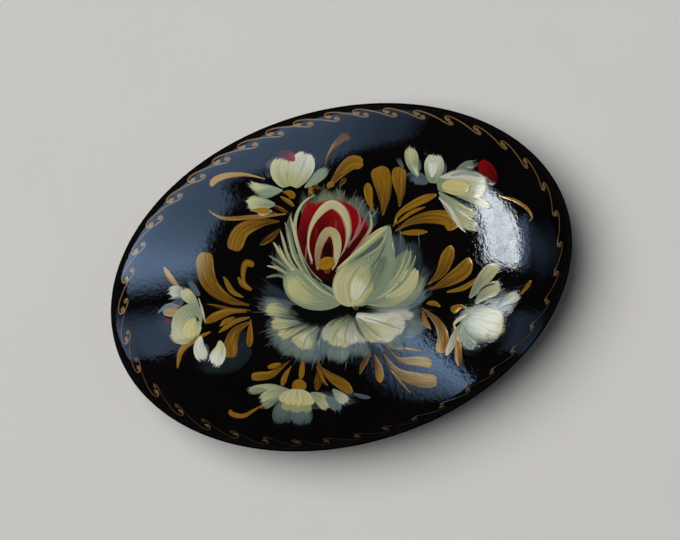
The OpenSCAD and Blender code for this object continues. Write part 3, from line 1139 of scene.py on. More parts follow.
@dataclass
class Blossoms(Spray):
    """The five small flowers round the rose."""

    finish: Brushwork = field(default_factory=lambda: Brushwork("cream_paint"))

    def touches(self) -> dict[str, list[Touch]]:
        """Each flower as one piece, with frayed petal ends."""
        flowers = {
            "blossom_top_left": self.top_left(),
            "blossom_left": self.left(),
            "blossom_bottom": self.bottom(),
            "blossom_right": self.right(),
            "blossom_top_right": self.top_right(),
        }
        return {name: feathered(touches, 3, 0.3) for name, touches in flowers.items()}

    @staticmethod
    def top_left() -> list[Touch]:
        """Two raised petals over three low ones, with a red throat."""
        return [
            DAB(1.6, CRIMSON, (-8.6, 17.0), (-5.6, 15.8), tail=MAROON),
            PETAL(1.5, SAGE, (-5, 12.2), (-3.9, 13), (-2.8, 14), (-1.7, 15.1), load=(1, 0.7)),
            PETAL(1.6, CREAM, (-8, 11.8), (-10, 12), (-11.4, 12.2), (-12.8, 12.9), tail=SAGE, load=(1, 0.6)),
            PETAL(1.5, SAGE, (-8.1, 11.8), (-10.5, 11.4), (-11.8, 11.1), load=(1, 0.7)),
            PETAL(2.2, CREAM, (-9.0, 9.9), (-11.2, 10), (-13.2, 10.3), tail=SAGE),
            PETAL(1.2, PALE, (-9.4, 9), (-11.7, 8.9), tail=SAGE, load=(1, 0.6)),
            LEAF(0.9, OCHRE, (-12.4, 9.1), (-9.6, 9)),
            LOBE(3.2, CREAM, (-7.4, 12.3), (-8.1, 14.5), (-7.8, 16.4), tail=OLIVE),
            LOBE(3.4, PALE, (-6.6, 12.3), (-5.4, 15), (-4.6, 17.2), tail=OLIVE),
            DAB(0.7, CRIMSON, (-6.8, 16.9), (-6.5, 15.6)),
        ]

    @staticmethod
    def left() -> list[Touch]:
        """A drooping flower with a pink throat."""
        return [
            PETAL(2.0, PALE, (-21, -2.6), (-22.4, -2), (-23.9, -2.3), tail=MIST, load=(0.9, 0.6)),
            DAB(1.2, MAROON, (-22.9, -6.2), (-24.4, -5.6)),
            DAB(1.3, TAN, (-22, -4.6), (-24.4, -4.8)),
            PETAL(1.8, CREAM, (-19.4, -4), (-20.6, -2.8), (-21.9, -1.4), tail=SAGE),
            PETAL(2.4, CREAM, (-19.5, -7), (-21.5, -8), (-23.3, -7), tail=SAGE),
            LOBE(4.2, CREAM, (-19.4, -3.9), (-21, -6.2), (-20.8, -8.7), tail=SAGE),
            LINE(0.5, MIST, (-22, -3.9), (-23.6, -3.8), (-25.2, -5)),
            LINE(0.25, PINK, (-22, -4), (-23.2, -3.9)),
            LINE(0.4, GREEN_BLACK, (-19.9, -5.3), (-19.3, -6.1)),
            HAIR(0.3, PALE, (-19.4, -2.8), (-18.9, -4.4), (-18.4, -6.6), film=0.7),
            PETAL(2.0, BUTTER, (-19.8, -5.4), (-20.6, -7.2), (-20.6, -8.6), load=(0.6, 0.9), film=0.7),
            PETAL(1.9, PALE, (-19.1, -8.0), (-19.3, -9.6), (-18.6, -11.6), tail=WHITE),
            PETAL(2.2, WHITE, (-16.5, -8.6), (-16.5, -10.0), (-17.5, -12.2), tail=CREAM),
        ]

    @staticmethod
    def bottom() -> list[Touch]:
        """A flower that opens downwards, seen from the side."""
        return [
            PETAL(1.0, CREAM, (-7.2, -15.2), (-9.2, -14.9), (-10.8, -15), (-13, -15.3), tail=SAGE),
            PETAL(1.3, SAGE, (-10.2, -15.2), (-12.9, -15.5), load=(1, 0.6)),
            PETAL(1.6, CREAM, (-7, -15.6), (-9.4, -15.9), (-11.3, -17.1), tail=SAGE),
            PETAL(1.2, SAGE, (-8.4, -16.4), (-9.6, -17), (-11, -17.7)),
            LOBE(2.8, MIST, (-7.2, -16.6), (-8.0, -18.4), (-8.0, -20.3), tail=SAGE, load=(1, 0.8), film=0.4),
            LOBE(3.0, MIST, (-5.6, -16.6), (-5.4, -18.4), (-5.4, -20.4), tail=SAGE, load=(1, 0.8), film=0.45),
            LOBE(4.2, OLIVE, (-6, -16.4), (-6.2, -18.7), load=(1, 0.8), film=0.8),
            LOBE(5.0, BUTTER, (-6, -15.2), (-6.1, -16.6), (-6.2, -17.7), tail=CREAM),
            PETAL(1.9, CREAM, (-4.2, -15.7), (-2.8, -16.6), (-1.5, -17.9), tail=SAGE),
            PETAL(1.6, MIST, (-2.2, -16.2), (-0.9, -17.3), (-0.3, -18.5)),
            PETAL(1.5, PALE, (-1.2, -15.2), (0, -16.4), (1.1, -17.1), tail=SAGE),
            LINE(0.6, MIST, (1.6, -15.8), (2.8, -16.2), (4, -16.4), film=0.6),
        ]

    @staticmethod
    def right() -> list[Touch]:
        """A flower that faces right, with long petals turned up."""
        return [
            PETAL(1.6, PALE, (21, -4.2), (22.8, -3), (24.6, -2.3), tail=MIST),
            PETAL(1.9, CREAM, (17.4, -2.8), (18.8, -0.8), (20.4, 1), (21.8, 1.6), tail=SAGE),
            PETAL(1.9, CREAM, (18.2, -3.6), (19.5, -2.2), (21.9, -0.9), tail=SAGE),
            LINE(0.25, GREEN_BLACK, (18.4, -2.4), (19.6, -1.2), (21.6, -0.7)),
            PETAL(3.0, SAGE, (16.4, -6.3), (17.2, -8), (18.9, -9.4), load=(1, 0.7)),
            LOBE(4.6, CREAM, (16.3, -5.2), (19, -6), (22.5, -6.6), tail=SAGE),
            PETAL(1.5, SAGE, (16.6, -6.6), (18.6, -8.0), (20.4, -8.2), load=(0.5, 0.8), film=0.7),
            LEAF(1.0, PALE, (16.8, -5.6), (15.6, -7.4), (14.8, -9.4), (14.2, -10.7), tail=SAGE),
            LINE(0.5, PALE, (17, -5), (15.8, -5.8), (15.1, -6.6)),
        ]

    @staticmethod
    def top_right() -> list[Touch]:
        """The fullest blossom, with streaky petals that fall to the right and a red bud."""
        return [
            DAB(2.2, CRIMSON, (20.9, 12.6), (19.0, 16.0), tail=MAROON),
            PETAL(1.5, SAGE, (15.6, 14.6), (17.2, 15.2), (18.6, 15.7), load=(0.9, 0.6), film=0.8),
            PETAL(1.9, CREAM, (10.4, 13.6), (9.6, 15.8), (9.4, 18), tail=SAGE),
            PETAL(1.8, CREAM, (13.2, 11.6), (15, 10), (16.4, 9), (18.6, 8.5), tail=SAGE, load=(1, 0.65)),
            PETAL(1.8, CREAM, (13.3, 11), (15.3, 8.8), (16.6, 7.6), (19, 6.5), tail=SAGE, load=(1, 0.6)),
            LINE(0.5, PALE, (13.2, 10.8), (14.8, 9.2), (16, 7), (17, 6)),
            PETAL(1.2, CREAM, (15, 11.4), (18, 10.6), (20.6, 9.5), tail=SAGE),
            LOBE(2.7, PALE, (12.4, 12.8), (12.6, 15), (12.7, 17), tail=SAGE),
            PETAL(1.6, WHITE, (12.3, 13.6), (12.4, 15), (12.4, 16.2), load=(0.9, 0.5), film=0.8),
            PETAL(0.8, WHITE, (10.4, 13.8), (9.7, 15.4), load=(0.8, 0.4), film=0.6),
            LOBE(3.6, CREAM, (13.0, 12.4), (15.6, 12.8), (20.1, 12.2), tail=SAGE),
            PETAL(1.8, WHITE, (13.4, 13.6), (16.4, 14.0), (20.0, 13.0), load=(0.7, 0.6), film=0.6),
            DAB(2.2, BUTTER, (13.6, 12.4), (17.4, 12.2)),
            LINE(0.6, MIST, (14.8, 13.8), (17, 14.2), (19.2, 13.6), film=0.6),
        ]


@dataclass
class Rose(Spray):
    """The big rose: a skirt of petals, a red heart under two arches, a fan and three front petals."""

    finish: Brushwork = field(default_factory=lambda: Brushwork("rose_paint"))

    def touches(self) -> dict[str, list[Touch]]:
        """The rose's parts, from the lowest to the front petals."""
        return {
            "rose_skirt": self.skirt(),
            "rose_heart": self.heart(),
            "rose_fan": self.fan(),
            "rose_sides": self.sides(),
            "rose_front": self.front(),
        }

    @staticmethod
    def skirt() -> list[Touch]:
        """Ragged petals that spread downwards."""
        return [
            LOBE(2.8, GREEN_BLACK, (4.6, -3.9), (1.0, -4.9), (-3, -5.4), (-7.4, -4.2), load=(1.3, 1.3)),
            WASH(3.6, GREEN_BLACK, (-3.2, -5.6), (-3.0, -8.0), load=(0.9, 0.5), film=0.9),
        ] + feathered([
            PETAL(3.0, SAGE, (-4.5, -7.0), (-7.0, -9.0), (-8.6, -10.4), load=(0.2, 0.8), film=0.35),
            PETAL(3.2, SAGE, (-2.8, -7.4), (-4.8, -9.6), (-5.8, -11.6), load=(0.2, 0.8), film=0.35),
            PETAL(2.6, SAGE, (1.4, -7.0), (2.6, -9.4), (3.0, -11.0), load=(0.2, 0.8), film=0.3),
            PETAL(3.4, SAGE, (0.6, -7.0), (-0.4, -9.4), (-0.8, -11.6), load=(0.2, 0.8), film=0.4),
            PETAL(2.6, SAGE, (4.5, -7.0), (7.0, -8.6), (8.8, -9.4), load=(0.2, 0.8), film=0.3),
            PETAL(2.4, SAGE, (6.0, -5.6), (9.0, -6.6), (11.6, -7.0), load=(0.2, 0.8), film=0.35),
        ], 3, 0.2) + feathered([
            FEATHER(2.6, SAGE, (-5.8, -5.0), (-8.5, -4.2), (-11.2, -3.3), load=(0.3, 0.7), film=0.6),
            FEATHER(2.2, SAGE, (-5.6, -6.4), (-8.2, -7.2), (-10.4, -7.9), load=(0.3, 0.7), film=0.6),
            PETAL(2.1, CREAM, (-5.6, -5.4), (-8.0, -4.7), (-10.6, -4.2),
                  tail=SAGE, load=(0.2, 0.8), film=0.8),
            PETAL(2.1, CREAM, (-4.4, -6.0), (-7.2, -6.2), (-10.0, -6.3),
                  tail=SAGE, load=(0.2, 0.85), film=0.85),
            PETAL(2.2, CREAM, (-4.0, -6.4), (-6.6, -7.2), (-8.8, -8.0),
                  tail=SAGE, load=(0.2, 0.85), film=0.9),
            FEATHER(1.8, SAGE, (-2.4, -6.4), (-3.6, -8.6), (-3.8, -10.2), load=(0.3, 0.7), film=0.6),
            PETAL(3.4, CREAM, (-3.0, -6.2), (-4.7, -7.8), (-5.9, -9.9), tail=SAGE, load=(0.25, 1.0)),
            PETAL(2.8, PALE, (1.0, -5.4), (-0.9, -6.9), (-2.3, -9.0), tail=SAGE, load=(0.3, 0.8), film=0.75),
            PETAL(2.6, PALE, (1.8, -5.4), (2.5, -7.4), (2.9, -9.2), tail=SAGE, load=(0.4, 0.8), film=0.75),
            PETAL(3.8, CREAM, (1.2, -5.0), (0.0, -7.4), (-0.5, -9.7), tail=SAGE, load=(0.3, 1.0)),
            PETAL(2.4, PALE, (1.5, -5.2), (1.3, -7.2), (1.4, -9.3), tail=SAGE, load=(0.3, 0.9), film=0.9),
            FEATHER(3.0, SAGE, (3.4, -5.8), (6.2, -7.6), (8.2, -9.2), load=(0.6, 0.8), film=0.6),
            PETAL(1.3, PALE, (3.2, -4.0), (6.4, -4.2), (9.6, -4.3), tail=SAGE, load=(0.3, 0.7), film=0.7),
            PETAL(1.5, PALE, (3.2, -4.5), (6.8, -4.9), (10.2, -5.3), tail=SAGE, load=(0.3, 0.8), film=0.8),
            PETAL(3.6, PALE, (2.0, -5.0), (5, -6.2), (9.0, -6.2), tail=PALE, load=(0.6, 1.0)),
            PETAL(3.2, PALE, (2.0, -5.3), (4.6, -6.9), (7.6, -8.0), tail=PALE, load=(0.6, 1.0)),
            PETAL(2.4, CREAM, (2.0, -5.5), (3.6, -7.0), (5.2, -8.7), tail=SAGE, load=(0.5, 1.0)),
        ], 4, 0.35) + [
            PETAL(2.2, BUTTER, (3.4, -6.2), (5.6, -7.0), (7.8, -7.2), load=(0.4, 0.8), film=0.35),
            PETAL(1.6, WHITE, (2.2, -5.2), (4.0, -5.6), (6.6, -5.7), load=(0.7, 0.5), film=0.7),
            PETAL(1.8, PALE, (0.4, -6.4), (0.0, -8.8), load=(0.4, 0.8), film=0.8),
            PETAL(1.8, PALE, (-4.2, -7.4), (-5.6, -9.2), load=(0.4, 0.8), film=0.8),
            HAIR(0.4, GREEN_BLACK, (-2.6, -6.4), (-3.1, -7.8), (-3.5, -9.0), film=0.7),
            HAIR(0.25, SAGE, (-3.2, -6.6), (-4.6, -8.0), (-5.4, -9.6), film=0.7),
            HAIR(0.25, GREEN_BLACK, (-4.2, -6.0), (-6.4, -6.6), (-8.0, -7.6), film=0.6),
            HAIR(0.3, GREEN_BLACK, (-3.4, -6.3), (-5.4, -7.2), (-7.2, -8.4), film=0.6),
            HAIR(0.35, GREEN_BLACK, (-4.4, -5.6), (-6.6, -5.6), (-9.0, -5.4), film=0.6),
            HAIR(0.3, GREEN_BLACK, (-4.6, -6.4), (-6.8, -6.8), (-8.8, -7.2), film=0.5),
            HAIR(0.4, GREEN_BLACK, (1.8, -5.4), (2.3, -7.0), (3.4, -8.6), film=0.6),
            HAIR(0.25, SAGE, (0.9, -5.8), (0.5, -7.8), (0.6, -9.2), film=0.8),
            HAIR(0.25, SAGE, (0.9, -5.6), (-0.7, -7.4), (-1.5, -9.0), film=0.8),
            HAIR(0.25, SAGE, (2.4, -5.6), (4.2, -7.2), (5.8, -8.4), film=0.8),
            HAIR(0.25, SAGE, (3.0, -5.4), (5.8, -6.2), (8.4, -7.2), film=0.7),
        ]

    @staticmethod
    def heart() -> list[Touch]:
        """The red heart with its arches and stamens."""
        rim = feathered([
            FEATHER(1.8, SAGE, (-4.6, 9.2), (-5.0, 10.4), (-5.2, 11.4), load=(0.1, 0.6), film=0.5),
            FEATHER(2.6, SAGE, (-2.8, 9.6), (-3.1, 11.0), (-3.3, 12.2), load=(0.1, 0.65), film=0.55),
            FEATHER(2.6, SAGE, (-0.2, 9.9), (0.0, 11.2), (0.2, 12.2), load=(0.1, 0.65), film=0.55),
            FEATHER(2.2, MIST, (1.8, 8.8), (2.3, 10.2), (2.6, 11.1), load=(0.1, 0.65), film=0.6),
            FEATHER(2.0, MIST, (3.2, 6.6), (4.0, 8.2), (4.6, 9.6), load=(0.1, 0.6), film=0.6),
        ], 2, 0.25)
        return [
            DAB(10.0, CRIMSON, (-1.3, -0.6), (-1.0, 10.6), tail=WINE),
            DAB(2.4, CRIMSON, (-4.9, 4.2), (-4.0, 10.3), tail=MAROON),
            PETAL(2.6, MAROON, (-1.0, 0.4), (1.6, 3.6), (3.4, 7.2), tail=WINE, film=0.8),
            PETAL(2.2, CRIMSON, (-3, 5.6), (-1.9, 8.6), (0.4, 8.6), tail=MAROON),
            PETAL(5.4, MAROON, (-1.2, -0.6), (-1.6, 3.2), (-1.4, 6.6), tail=WINE, load=(1.0, 0.7), film=0.65),
            DAB(1.2, CRIMSON, (1.0, 8.5), (1.3, 9.9)),
            DAB(0.9, CRIMSON, (1.9, 6.0), (2.2, 8.4), film=0.8),
            *rim,
            LINE(0.5, CREAM, (-2.6, -0.6), (-4.3, 1.0), (-5.6, 3.4), (-6.3, 6.0), (-6.1, 8.4), (-5.1, 10.2),
                 (-3.4, 11.3), tail=SAGE, load=(1, 0.8), film=0.85),
            LEAF(0.8, SAGE, (-3.6, -0.6), (-6.0, 2.4), (-7.1, 6), (-6.8, 8.9), load=(0.9, 0.6), film=0.5),
            HAIR(0.3, PINK, (-4.9, 2.3), (-4.7, 4), (-4.1, 6), film=0.6),
            LINE(0.35, PINK, (0.9, 4), (1.9, 5.8), (2.5, 7.5), (2.3, 8.8), (1.7, 10), film=0.8),
            LINE(0.35, PINK, (0.4, 4), (2, 5.6), (3.1, 7.7), (3.7, 9), film=0.8),
            LINE(0.4, CREAM, (1.3, 3.1), (2.6, 4.6), (3.9, 6.5), (4, 7.9), (3.7, 9.1), tail=PINK, film=0.9),
            LINE(0.45, CREAM, (1.4, 3), (3.2, 4.9), (4.9, 6.3), (6.4, 7.1), tail=PINK),
            LINE(0.3, MIST, (2.2, 8.8), (3, 10.6), film=0.8),
            LINE(0.3, MIST, (3.9, 8), (4.9, 9.1), film=0.8),
            ARCH(1.35, TAN, (-4.0, 1.8), (-4.5, 4.2), (-4.2, 6.6), (-3.1, 8.6), (-1.4, 9.9), (0.2, 8.9),
                 (0.9, 6.8), (0.8, 4.9), (0.2, 3.4), (-0.6, 2.2), tail=PINK),
            ARCH(1.15, CREAM, (-4.0, 2.2), (-4.5, 4.3), (-4.2, 6.6), (-3.1, 8.6), (-1.4, 9.9), (0.2, 8.9),
                 (0.9, 6.8), (0.8, 5.2), (0.3, 3.8), film=0.85),
            LINE(1.25, CREAM, (-3.2, 1.0), (-3.2, 3.2), (-2.75, 4.9), (-1.85, 6.2), (-0.9, 5.8), (-0.55, 4.3),
                 (-0.75, 2.4), (-1.3, 0.8), tail=TAN, film=0.85),
            DAB(1.1, WINE, (-1.9, 1.9), (-1.9, 4.9)),
            DAB(1.1, UMBER, (-2.1, 2.2), (-1.85, 0.4)),
            DAB(1.8, UMBER, (-3.2, 1.5), (-0.8, 2.3)),
            DAB(1.7, YOLK, (-3.2, 1.5), (-0.9, 2.3), film=0.9),
        ]

    @staticmethod
    def fan() -> list[Touch]:
        """Fine hair lines that fan out on the left."""
        roots = ((-2.6, -2.0), (-3.2, -1.8), (-3.8, -1.6), (-4.4, -1.4), (-5.0, -1.3), (-5.4, -1.2),
                 (-5.8, -1.2))
        knees = ((-5.2, 2.0), (-6.0, 2.4), (-6.9, 2.2), (-7.4, 2.0), (-7.8, 1.6), (-8.2, 1.0), (-8.3, 0.2))
        tips = ((-7.0, 8.4), (-7.7, 7.6), (-8.3, 6.4), (-9.3, 4.9), (-9.9, 3.0), (-10.2, 1.6), (-10.3, 0.0))
        lines = [
            LEAF(width, paint, root, knee, tip, tail=SAGE, load=(1, 0.75), film=film)
            for root, knee, tip, width, paint, film in zip(
                roots, knees, tips, (0.42, 0.5, 0.4, 0.5, 0.4, 0.38, 0.4),
                (CREAM, SAGE, CREAM, CREAM, SAGE, CREAM, SAGE), (0.85, 0.65, 0.75, 0.8, 0.6, 0.75, 0.6))
        ]
        return [
            WASH(4.0, SAGE, (-4.0, -1.4), (-7.2, 1.6), (-8.8, 5.2), load=(0.8, 0.5), film=0.4),
            LINE(0.6, GREEN_BLACK, (-5.9, 3.4), (-4.3, 0.6), (-2, -2.2), film=0.8),
            *lines,
            LINE(0.25, CREAM, (-4.0, -0.8), (-6.4, 2.6), (-7.3, 6.2), film=0.8),
            LINE(0.25, CREAM, (-4.6, -0.8), (-7.2, 1.8), (-8.6, 4.6), film=0.8),
            LINE(0.2, SAGE, (-5.2, -0.9), (-7.8, 0.9), (-9.8, 2.2), film=0.8),
        ]

    @staticmethod
    def sides() -> list[Touch]:
        """Streaky petals on the right."""
        return feathered([
            FEATHER(2.0, MIST, (5, -3.8), (9, -3.4), (12.0, -1.4), load=(0.9, 0.8), film=0.7),
            FEATHER(2.0, SAGE, (5, -3.6), (9, -2.8), (11.4, 0.8), load=(0.9, 0.8), film=0.8),
            FEATHER(2.2, SAGE, (3.6, -3.2), (7.2, -0.4), (9.4, 4.4), load=(0.9, 0.8), film=0.85),
        ], 6, 0.9) + [
            PETAL(2.8, CREAM, (2.8, -3.4), (6.3, -2.9), (8.6, -1.2), (10.1, 1.5), tail=SAGE, load=(0.9, 1)),
            LOBE(1.6, CREAM, (6.0, -2.7), (8.4, -1.3), (9.8, 0.9), load=(0.5, 1), film=0.8),
            LEAF(0.5, SAGE, (3.6, -3.3), (6.2, -0.8), (7.2, 1.4), (7.8, 3.2)),
            HAIR(0.4, CREAM, (3.4, -3.4), (6.4, -1), (8, 1.2), (8.8, 3.7), tail=SAGE, film=0.8),
            HAIR(0.4, CREAM, (4, -3.2), (7.2, -0.8), (8.8, 1.5), (9.6, 3.8), tail=SAGE, film=0.8),
            LEAF(0.45, SAGE, (4.6, -3.2), (7.9, -1), (9.4, 1.2), (10.1, 3.1), film=0.9),
            HAIR(0.3, PALE, (3.0, -3.5), (5.8, -2.4), (8.0, -0.4), tail=SAGE),
        ]

    @staticmethod
    def front() -> list[Touch]:
        """The broad petals in front, and their folds."""
        return [
            LOBE(4.2, SAGE, (0.2, -2.8), (-2.6, -2.7), (-5.2, -1.7), (-7.3, 1.0), tail=SAGE, load=(1.0, 1.0)),
            PETAL(3.2, OLIVE, (-0.6, -3.0), (-3.4, -2.9), (-5.8, -2.0), (-7.2, 0.6), tail=SAGE,
                  load=(0.5, 0.9)),
            PETAL(2.6, CREAM, (-1.4, -3.1), (-4.0, -2.8), (-6.0, -1.6), (-7.0, 0.0), tail=OLIVE,
                  load=(0.4, 0.9), film=0.7),
            HAIR(0.35, SAGE, (-0.4, -2.8), (-2.6, -1.7), (-5.0, 0.6)),
            HAIR(0.3, DUSK, (-0.8, -2.5), (-2.8, -1.0), (-4.2, 0.6), film=0.6),
            HAIR(0.3, CREAM, (-1.0, -2.7), (-3.2, -1.4), (-5.4, 0.8), film=0.8),
            HAIR(0.25, SAGE, (-1.2, -3.2), (-3.6, -2.4), (-6.2, -0.2)),
            BLADE(6.4, SAGE, (1.7, -3.7), (2.6, -0.8), (4.5, 2.5), (6.6, 7.2), tail=SAGE, load=(1.2, 1.1)),
            PETAL(2.0, DUSK, (2.6, -2.6), (4.9, 0.4), (5.8, 3.4), load=(0.4, 0.6), film=0.5),
            PETAL(1.0, SAGE, (3.4, -3.2), (5.6, -1.2), (6.8, 1.4), (6.8, 4.8), load=(0.8, 0.8), film=0.8),
            PETAL(1.6, DUSK, (0.6, 1.6), (2.6, 2.9), (4.6, 4.2), (6.0, 5.8), load=(0.7, 0.7), film=0.7),
            PETAL(0.9, OLIVE, (-0.8, 0.8), (1.8, 3.0), (4.2, 5.1), (6.6, 7.2), tail=SAGE, load=(0.9, 0.9)),
            HAIR(0.4, CREAM, (-0.6, 1.2), (2.0, 3.4), (4.4, 5.4), (6.5, 7.2)),
            HAIR(0.35, CREAM, (1.2, 1.8), (3.0, 2.7), (5.2, 4.2), (6.4, 6.6), tail=SAGE, film=0.8),
            HAIR(0.3, DUSK, (3.6, 0.9), (5.0, 2.6), (6.0, 4.8), film=0.5),
            BLADE(5.6, OLIVE, (1.7, -3.9), (1.5, -1.6), (2.3, 0.6), (4.2, 3.2), load=(1.1, 0.2)),
            BLADE(4.9, CREAM, (1.6, -3.8), (1.3, -1.7), (1.9, 0.3), (3.6, 2.8), load=(1.0, 0.2), film=0.9),
            BLADE(2.6, CREAM, (1.9, -3.4), (2.4, -1.2), (3.2, 0.6), (4.2, 2.2), load=(0.6, 0.3), film=0.8),
            FEATHER(2.6, WHITE, (1.7, -3.0), (2.3, -1.2), (3.0, 0.4), load=(0.6, 0.8), film=0.5),
            HAIR(0.3, SAGE, (2.4, -3.0), (3.8, -0.7), (4.4, 1.4), film=0.6),
            HAIR(0.25, SAGE, (1.2, -3.4), (0.9, -1.2), (1.8, 0.8), film=0.5),
            DAB(0.9, PINK, (1.6, -4.3), (2.2, -3.7), film=0.3),
        ]


# ---- The border ----


@dataclass
class Scroll:
    """The running scroll near the rim: one S-shaped touch, repeated along the oval by a node tree.

    Attributes:
        dome: The dome it runs on.
        motifs: How many there are.
        seat: Its place, as a share of the oval's half axes.
        width: Width of the touch, in mm.
        rise: How far it stands over the lacquer, in mm.
        wander: How far a motif strays from its even place, in mm.
        uneven: How much more the motifs differ in length than in place.
        sideways: How much less they stray across the border than along it.
        stretch: How much longer the longest motif is.
        flattening: How much the motifs lose in height away from the longest.
        painted_shade: Painted shade on the border: how much load the faintest motif loses, counted twice.
        faint_at: Number of the faintest motif.
        long_at: Number of the longest motif.
        edge_up: The least height squared, so that nothing falls off the dome.
        seed: Sets how the motifs stray.
        bristles: Sets the touch's bristles.
        finish: Its finish.
    """

    dome: Dome
    motifs: int = 40
    seat: float = 0.94
    width: float = 0.24
    rise: float = 0.012
    wander: float = 0.15
    uneven: float = 8.0
    sideways: float = 0.4
    stretch: float = 0.18
    flattening: float = 0.28
    painted_shade: float = 0.32
    faint_at: float = 12.5
    long_at: float = 25.0
    edge_up: float = 0.004
    seed: int = 5
    bristles: int = 3
    # Its glint colour is a painted highlight, mixed in patches into the border's paint.
    finish: Brushwork = field(default_factory=lambda: Brushwork(
        "border_gold", furrows=0.02, gloss=0.12, metal=0.15, glint=linear(138, 108, 70)))

    def motif(self) -> bpy.types.Object:
        """One S laid flat: X runs clockwise along the border and Y outwards."""
        path = ((0.95, 0.12), (0.5, 0.12), (0.12, 0.34), (0.2, 0.66), (0.7, 0.76), (1.6, 0.6), (3.1, 0.1),
                (4.4, -0.42), (5.2, -0.68), (5.65, -0.52), (5.4, -0.26), (4.9, -0.2))
        patch = brush(SCROLL(self.width, BRONZE, *path), self.bristles)
        under = np.broadcast_to(np.array(BLACK.value), patch.colour.shape)
        upper = np.concatenate([patch.plan, (patch.relief + self.rise)[..., None]], -1) * MM
        lower = np.concatenate([patch.plan, np.full((*patch.relief.shape, 1), -SUNK)], -1) * MM
        batch = PatchMesh()
        batch.add(upper, lower, patch, patch.colour, under)
        return batch.build("border_scroll", self.finish)

    def sizes(self) -> dict[str, Any]:
        """The node tree's inputs, lengths in metres."""
        return {
            "Half Length": self.dome.half_l * MM, "Half Width": self.dome.half_w * MM,
            "Rim Height": self.dome.rim_z * MM, "Dome Height": self.dome.dome_h * MM,
            "Seat": self.seat, "Wander": self.wander * MM, "Stretch": self.stretch,
            "Flattening": self.flattening, "Longest": self.long_at, "Painted Shade": self.painted_shade,
            "Faintest": self.faint_at, "Motifs": self.motifs, "Seed": self.seed,
            "Material": self.finish.material(),
        }

    def tree(self) -> bpy.types.NodeTree:
        """The node tree that repeats the motif and bends it to the dome.

        Returns:
            The tree, with named inputs for its sizes.
        """
        tree = bpy.data.node_groups.new("border_scroll", "GeometryNodeTree")
        kinds = {float: "Float", int: "Int", bpy.types.Material: "Material"}
        tree.interface.new_socket("Geometry", in_out="INPUT", socket_type="NodeSocketGeometry")
        for name, value in self.sizes().items():
            tree.interface.new_socket(name, in_out="INPUT", socket_type=f"NodeSocket{kinds[type(value)]}")
        tree.interface.new_socket("Geometry", in_out="OUTPUT", socket_type="NodeSocketGeometry")
        bench = Bench(tree)
        given = bench.node("NodeGroupInput")
        size = {name: Value(bench, given.outputs[name]) for name in self.sizes()}
        half_l, half_w, dome_h = size["Half Length"], size["Half Width"], size["Dome Height"]

        line = bench.value("GeometryNodeMeshLine", 0, None,
                           {"Count": size["Motifs"], "Offset": (0.0, 0.0, 0.0)})
        marked = bench.store(line, "INT", "turn", bench.value("GeometryNodeInputIndex"))
        spread = bench.value("GeometryNodeInstanceOnPoints", 0, None,
                             {"Points": marked, "Instance": given.outputs["Geometry"]})
        real = bench.value("GeometryNodeRealizeInstances", 0, None, {"Geometry": spread})

        turn = bench.stored("INT", "turn")
        circle = bench.value("GeometryNodeCurvePrimitiveCircle", 0, None, {"Resolution": 360, "Radius": 1.0})
        seated = bench.joined(half_l * size["Seat"], half_w * size["Seat"], 1.0)
        oval = bench.value("GeometryNodeTransform", 0, None, {"Geometry": circle, "Scale": seated})
        total = bench.value("GeometryNodeCurveLength", 0, None, {"Curve": oval})

        def stray(seed: int) -> Value:
            values = {"Min_001": size["Wander"] * -1, "Max_001": size["Wander"], "ID": turn,
                      "Seed": size["Seed"] + seed}
            return bench.value("FunctionNodeRandomValue", 1, {"data_type": "FLOAT"}, values)

        def near(motif: str) -> Value:
            return ((turn - size[motif]) / size["Motifs"] * math.tau).cosine()

        x, y, z = bench.parts(bench.value("GeometryNodeInputPosition"))
        longer = near("Longest") * size["Stretch"] + 1.0 + stray(2) / half_l * self.uneven
        wider = (near("Longest") - 1) * size["Flattening"] + 1.0
        along = turn / size["Motifs"] * total + stray(0) + x * longer
        ring = bench.node("GeometryNodeSampleCurve", {"mode": "LENGTH"},
                          {"Curves": oval, "Length": total - along % total})
        outward = bench.vector("CROSS_PRODUCT", ring.outputs["Tangent"], (0.0, 0.0, 1.0))
        step = bench.scaled(outward, y * wider + stray(1) * self.sideways)
        plan = bench.vector("ADD", ring.outputs["Position"], step)
        east, north, _ = bench.parts(bench.vector("DIVIDE", plan, bench.joined(half_l, half_w, 1.0)))
        up = (1 - east * east - north * north).at_least(self.edge_up).root()
        rise = bench.joined(0.0, 0.0, size["Rim Height"] + dome_h * up)
        normal = bench.vector("NORMALIZE", bench.joined(east / half_l, north / half_w, up / dome_h))
        seat = bench.vector("ADD", bench.vector("ADD", plan, rise), bench.scaled(normal, z))
        bent = bench.value("GeometryNodeSetPosition", 0, None, {"Geometry": real, "Position": seat})
        # Painted shade: the motifs lose load towards the faintest one, so the border darkens there.
        left = 1 - (near("Faintest") + 1.0) * size["Painted Shade"]
        worn_and_shaded = bench.store(bent, "FLOAT", "load", bench.stored("FLOAT", "load") * left)
        flat = bench.value("GeometryNodeRealizeInstances", 0, None, {"Geometry": worn_and_shaded})
        dressed = bench.value("GeometryNodeSetMaterial", 0, None,
                              {"Geometry": flat, "Material": size["Material"]})
        bench.node("NodeGroupOutput", None, {"Geometry": dressed})
        return tree

    def build(self) -> bpy.types.Object:
        """Runs the tree on the motif and keeps the result as a plain mesh.

        Returns:
            The piece, which rides on the brooch.
        """
        piece = self.motif()
        tree = self.tree()
        modifier = piece.modifiers.new("scroll", "NODES")
        modifier.node_group = tree
        sizes = self.sizes()
        for item in tree.interface.items_tree:
            if item.item_type == "SOCKET" and item.in_out == "INPUT" and item.name in sizes:
                modifier[item.identifier] = sizes[item.name]
        graph = bpy.context.evaluated_depsgraph_get()
        made = bpy.data.meshes.new_from_object(piece.evaluated_get(graph), preserve_all_data_layers=True,
                                               depsgraph=graph)
        piece.modifiers.remove(modifier)
        piece.data = made
        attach(piece, "brooch")
        return report(piece)


# ---- The brooch's own solids ----


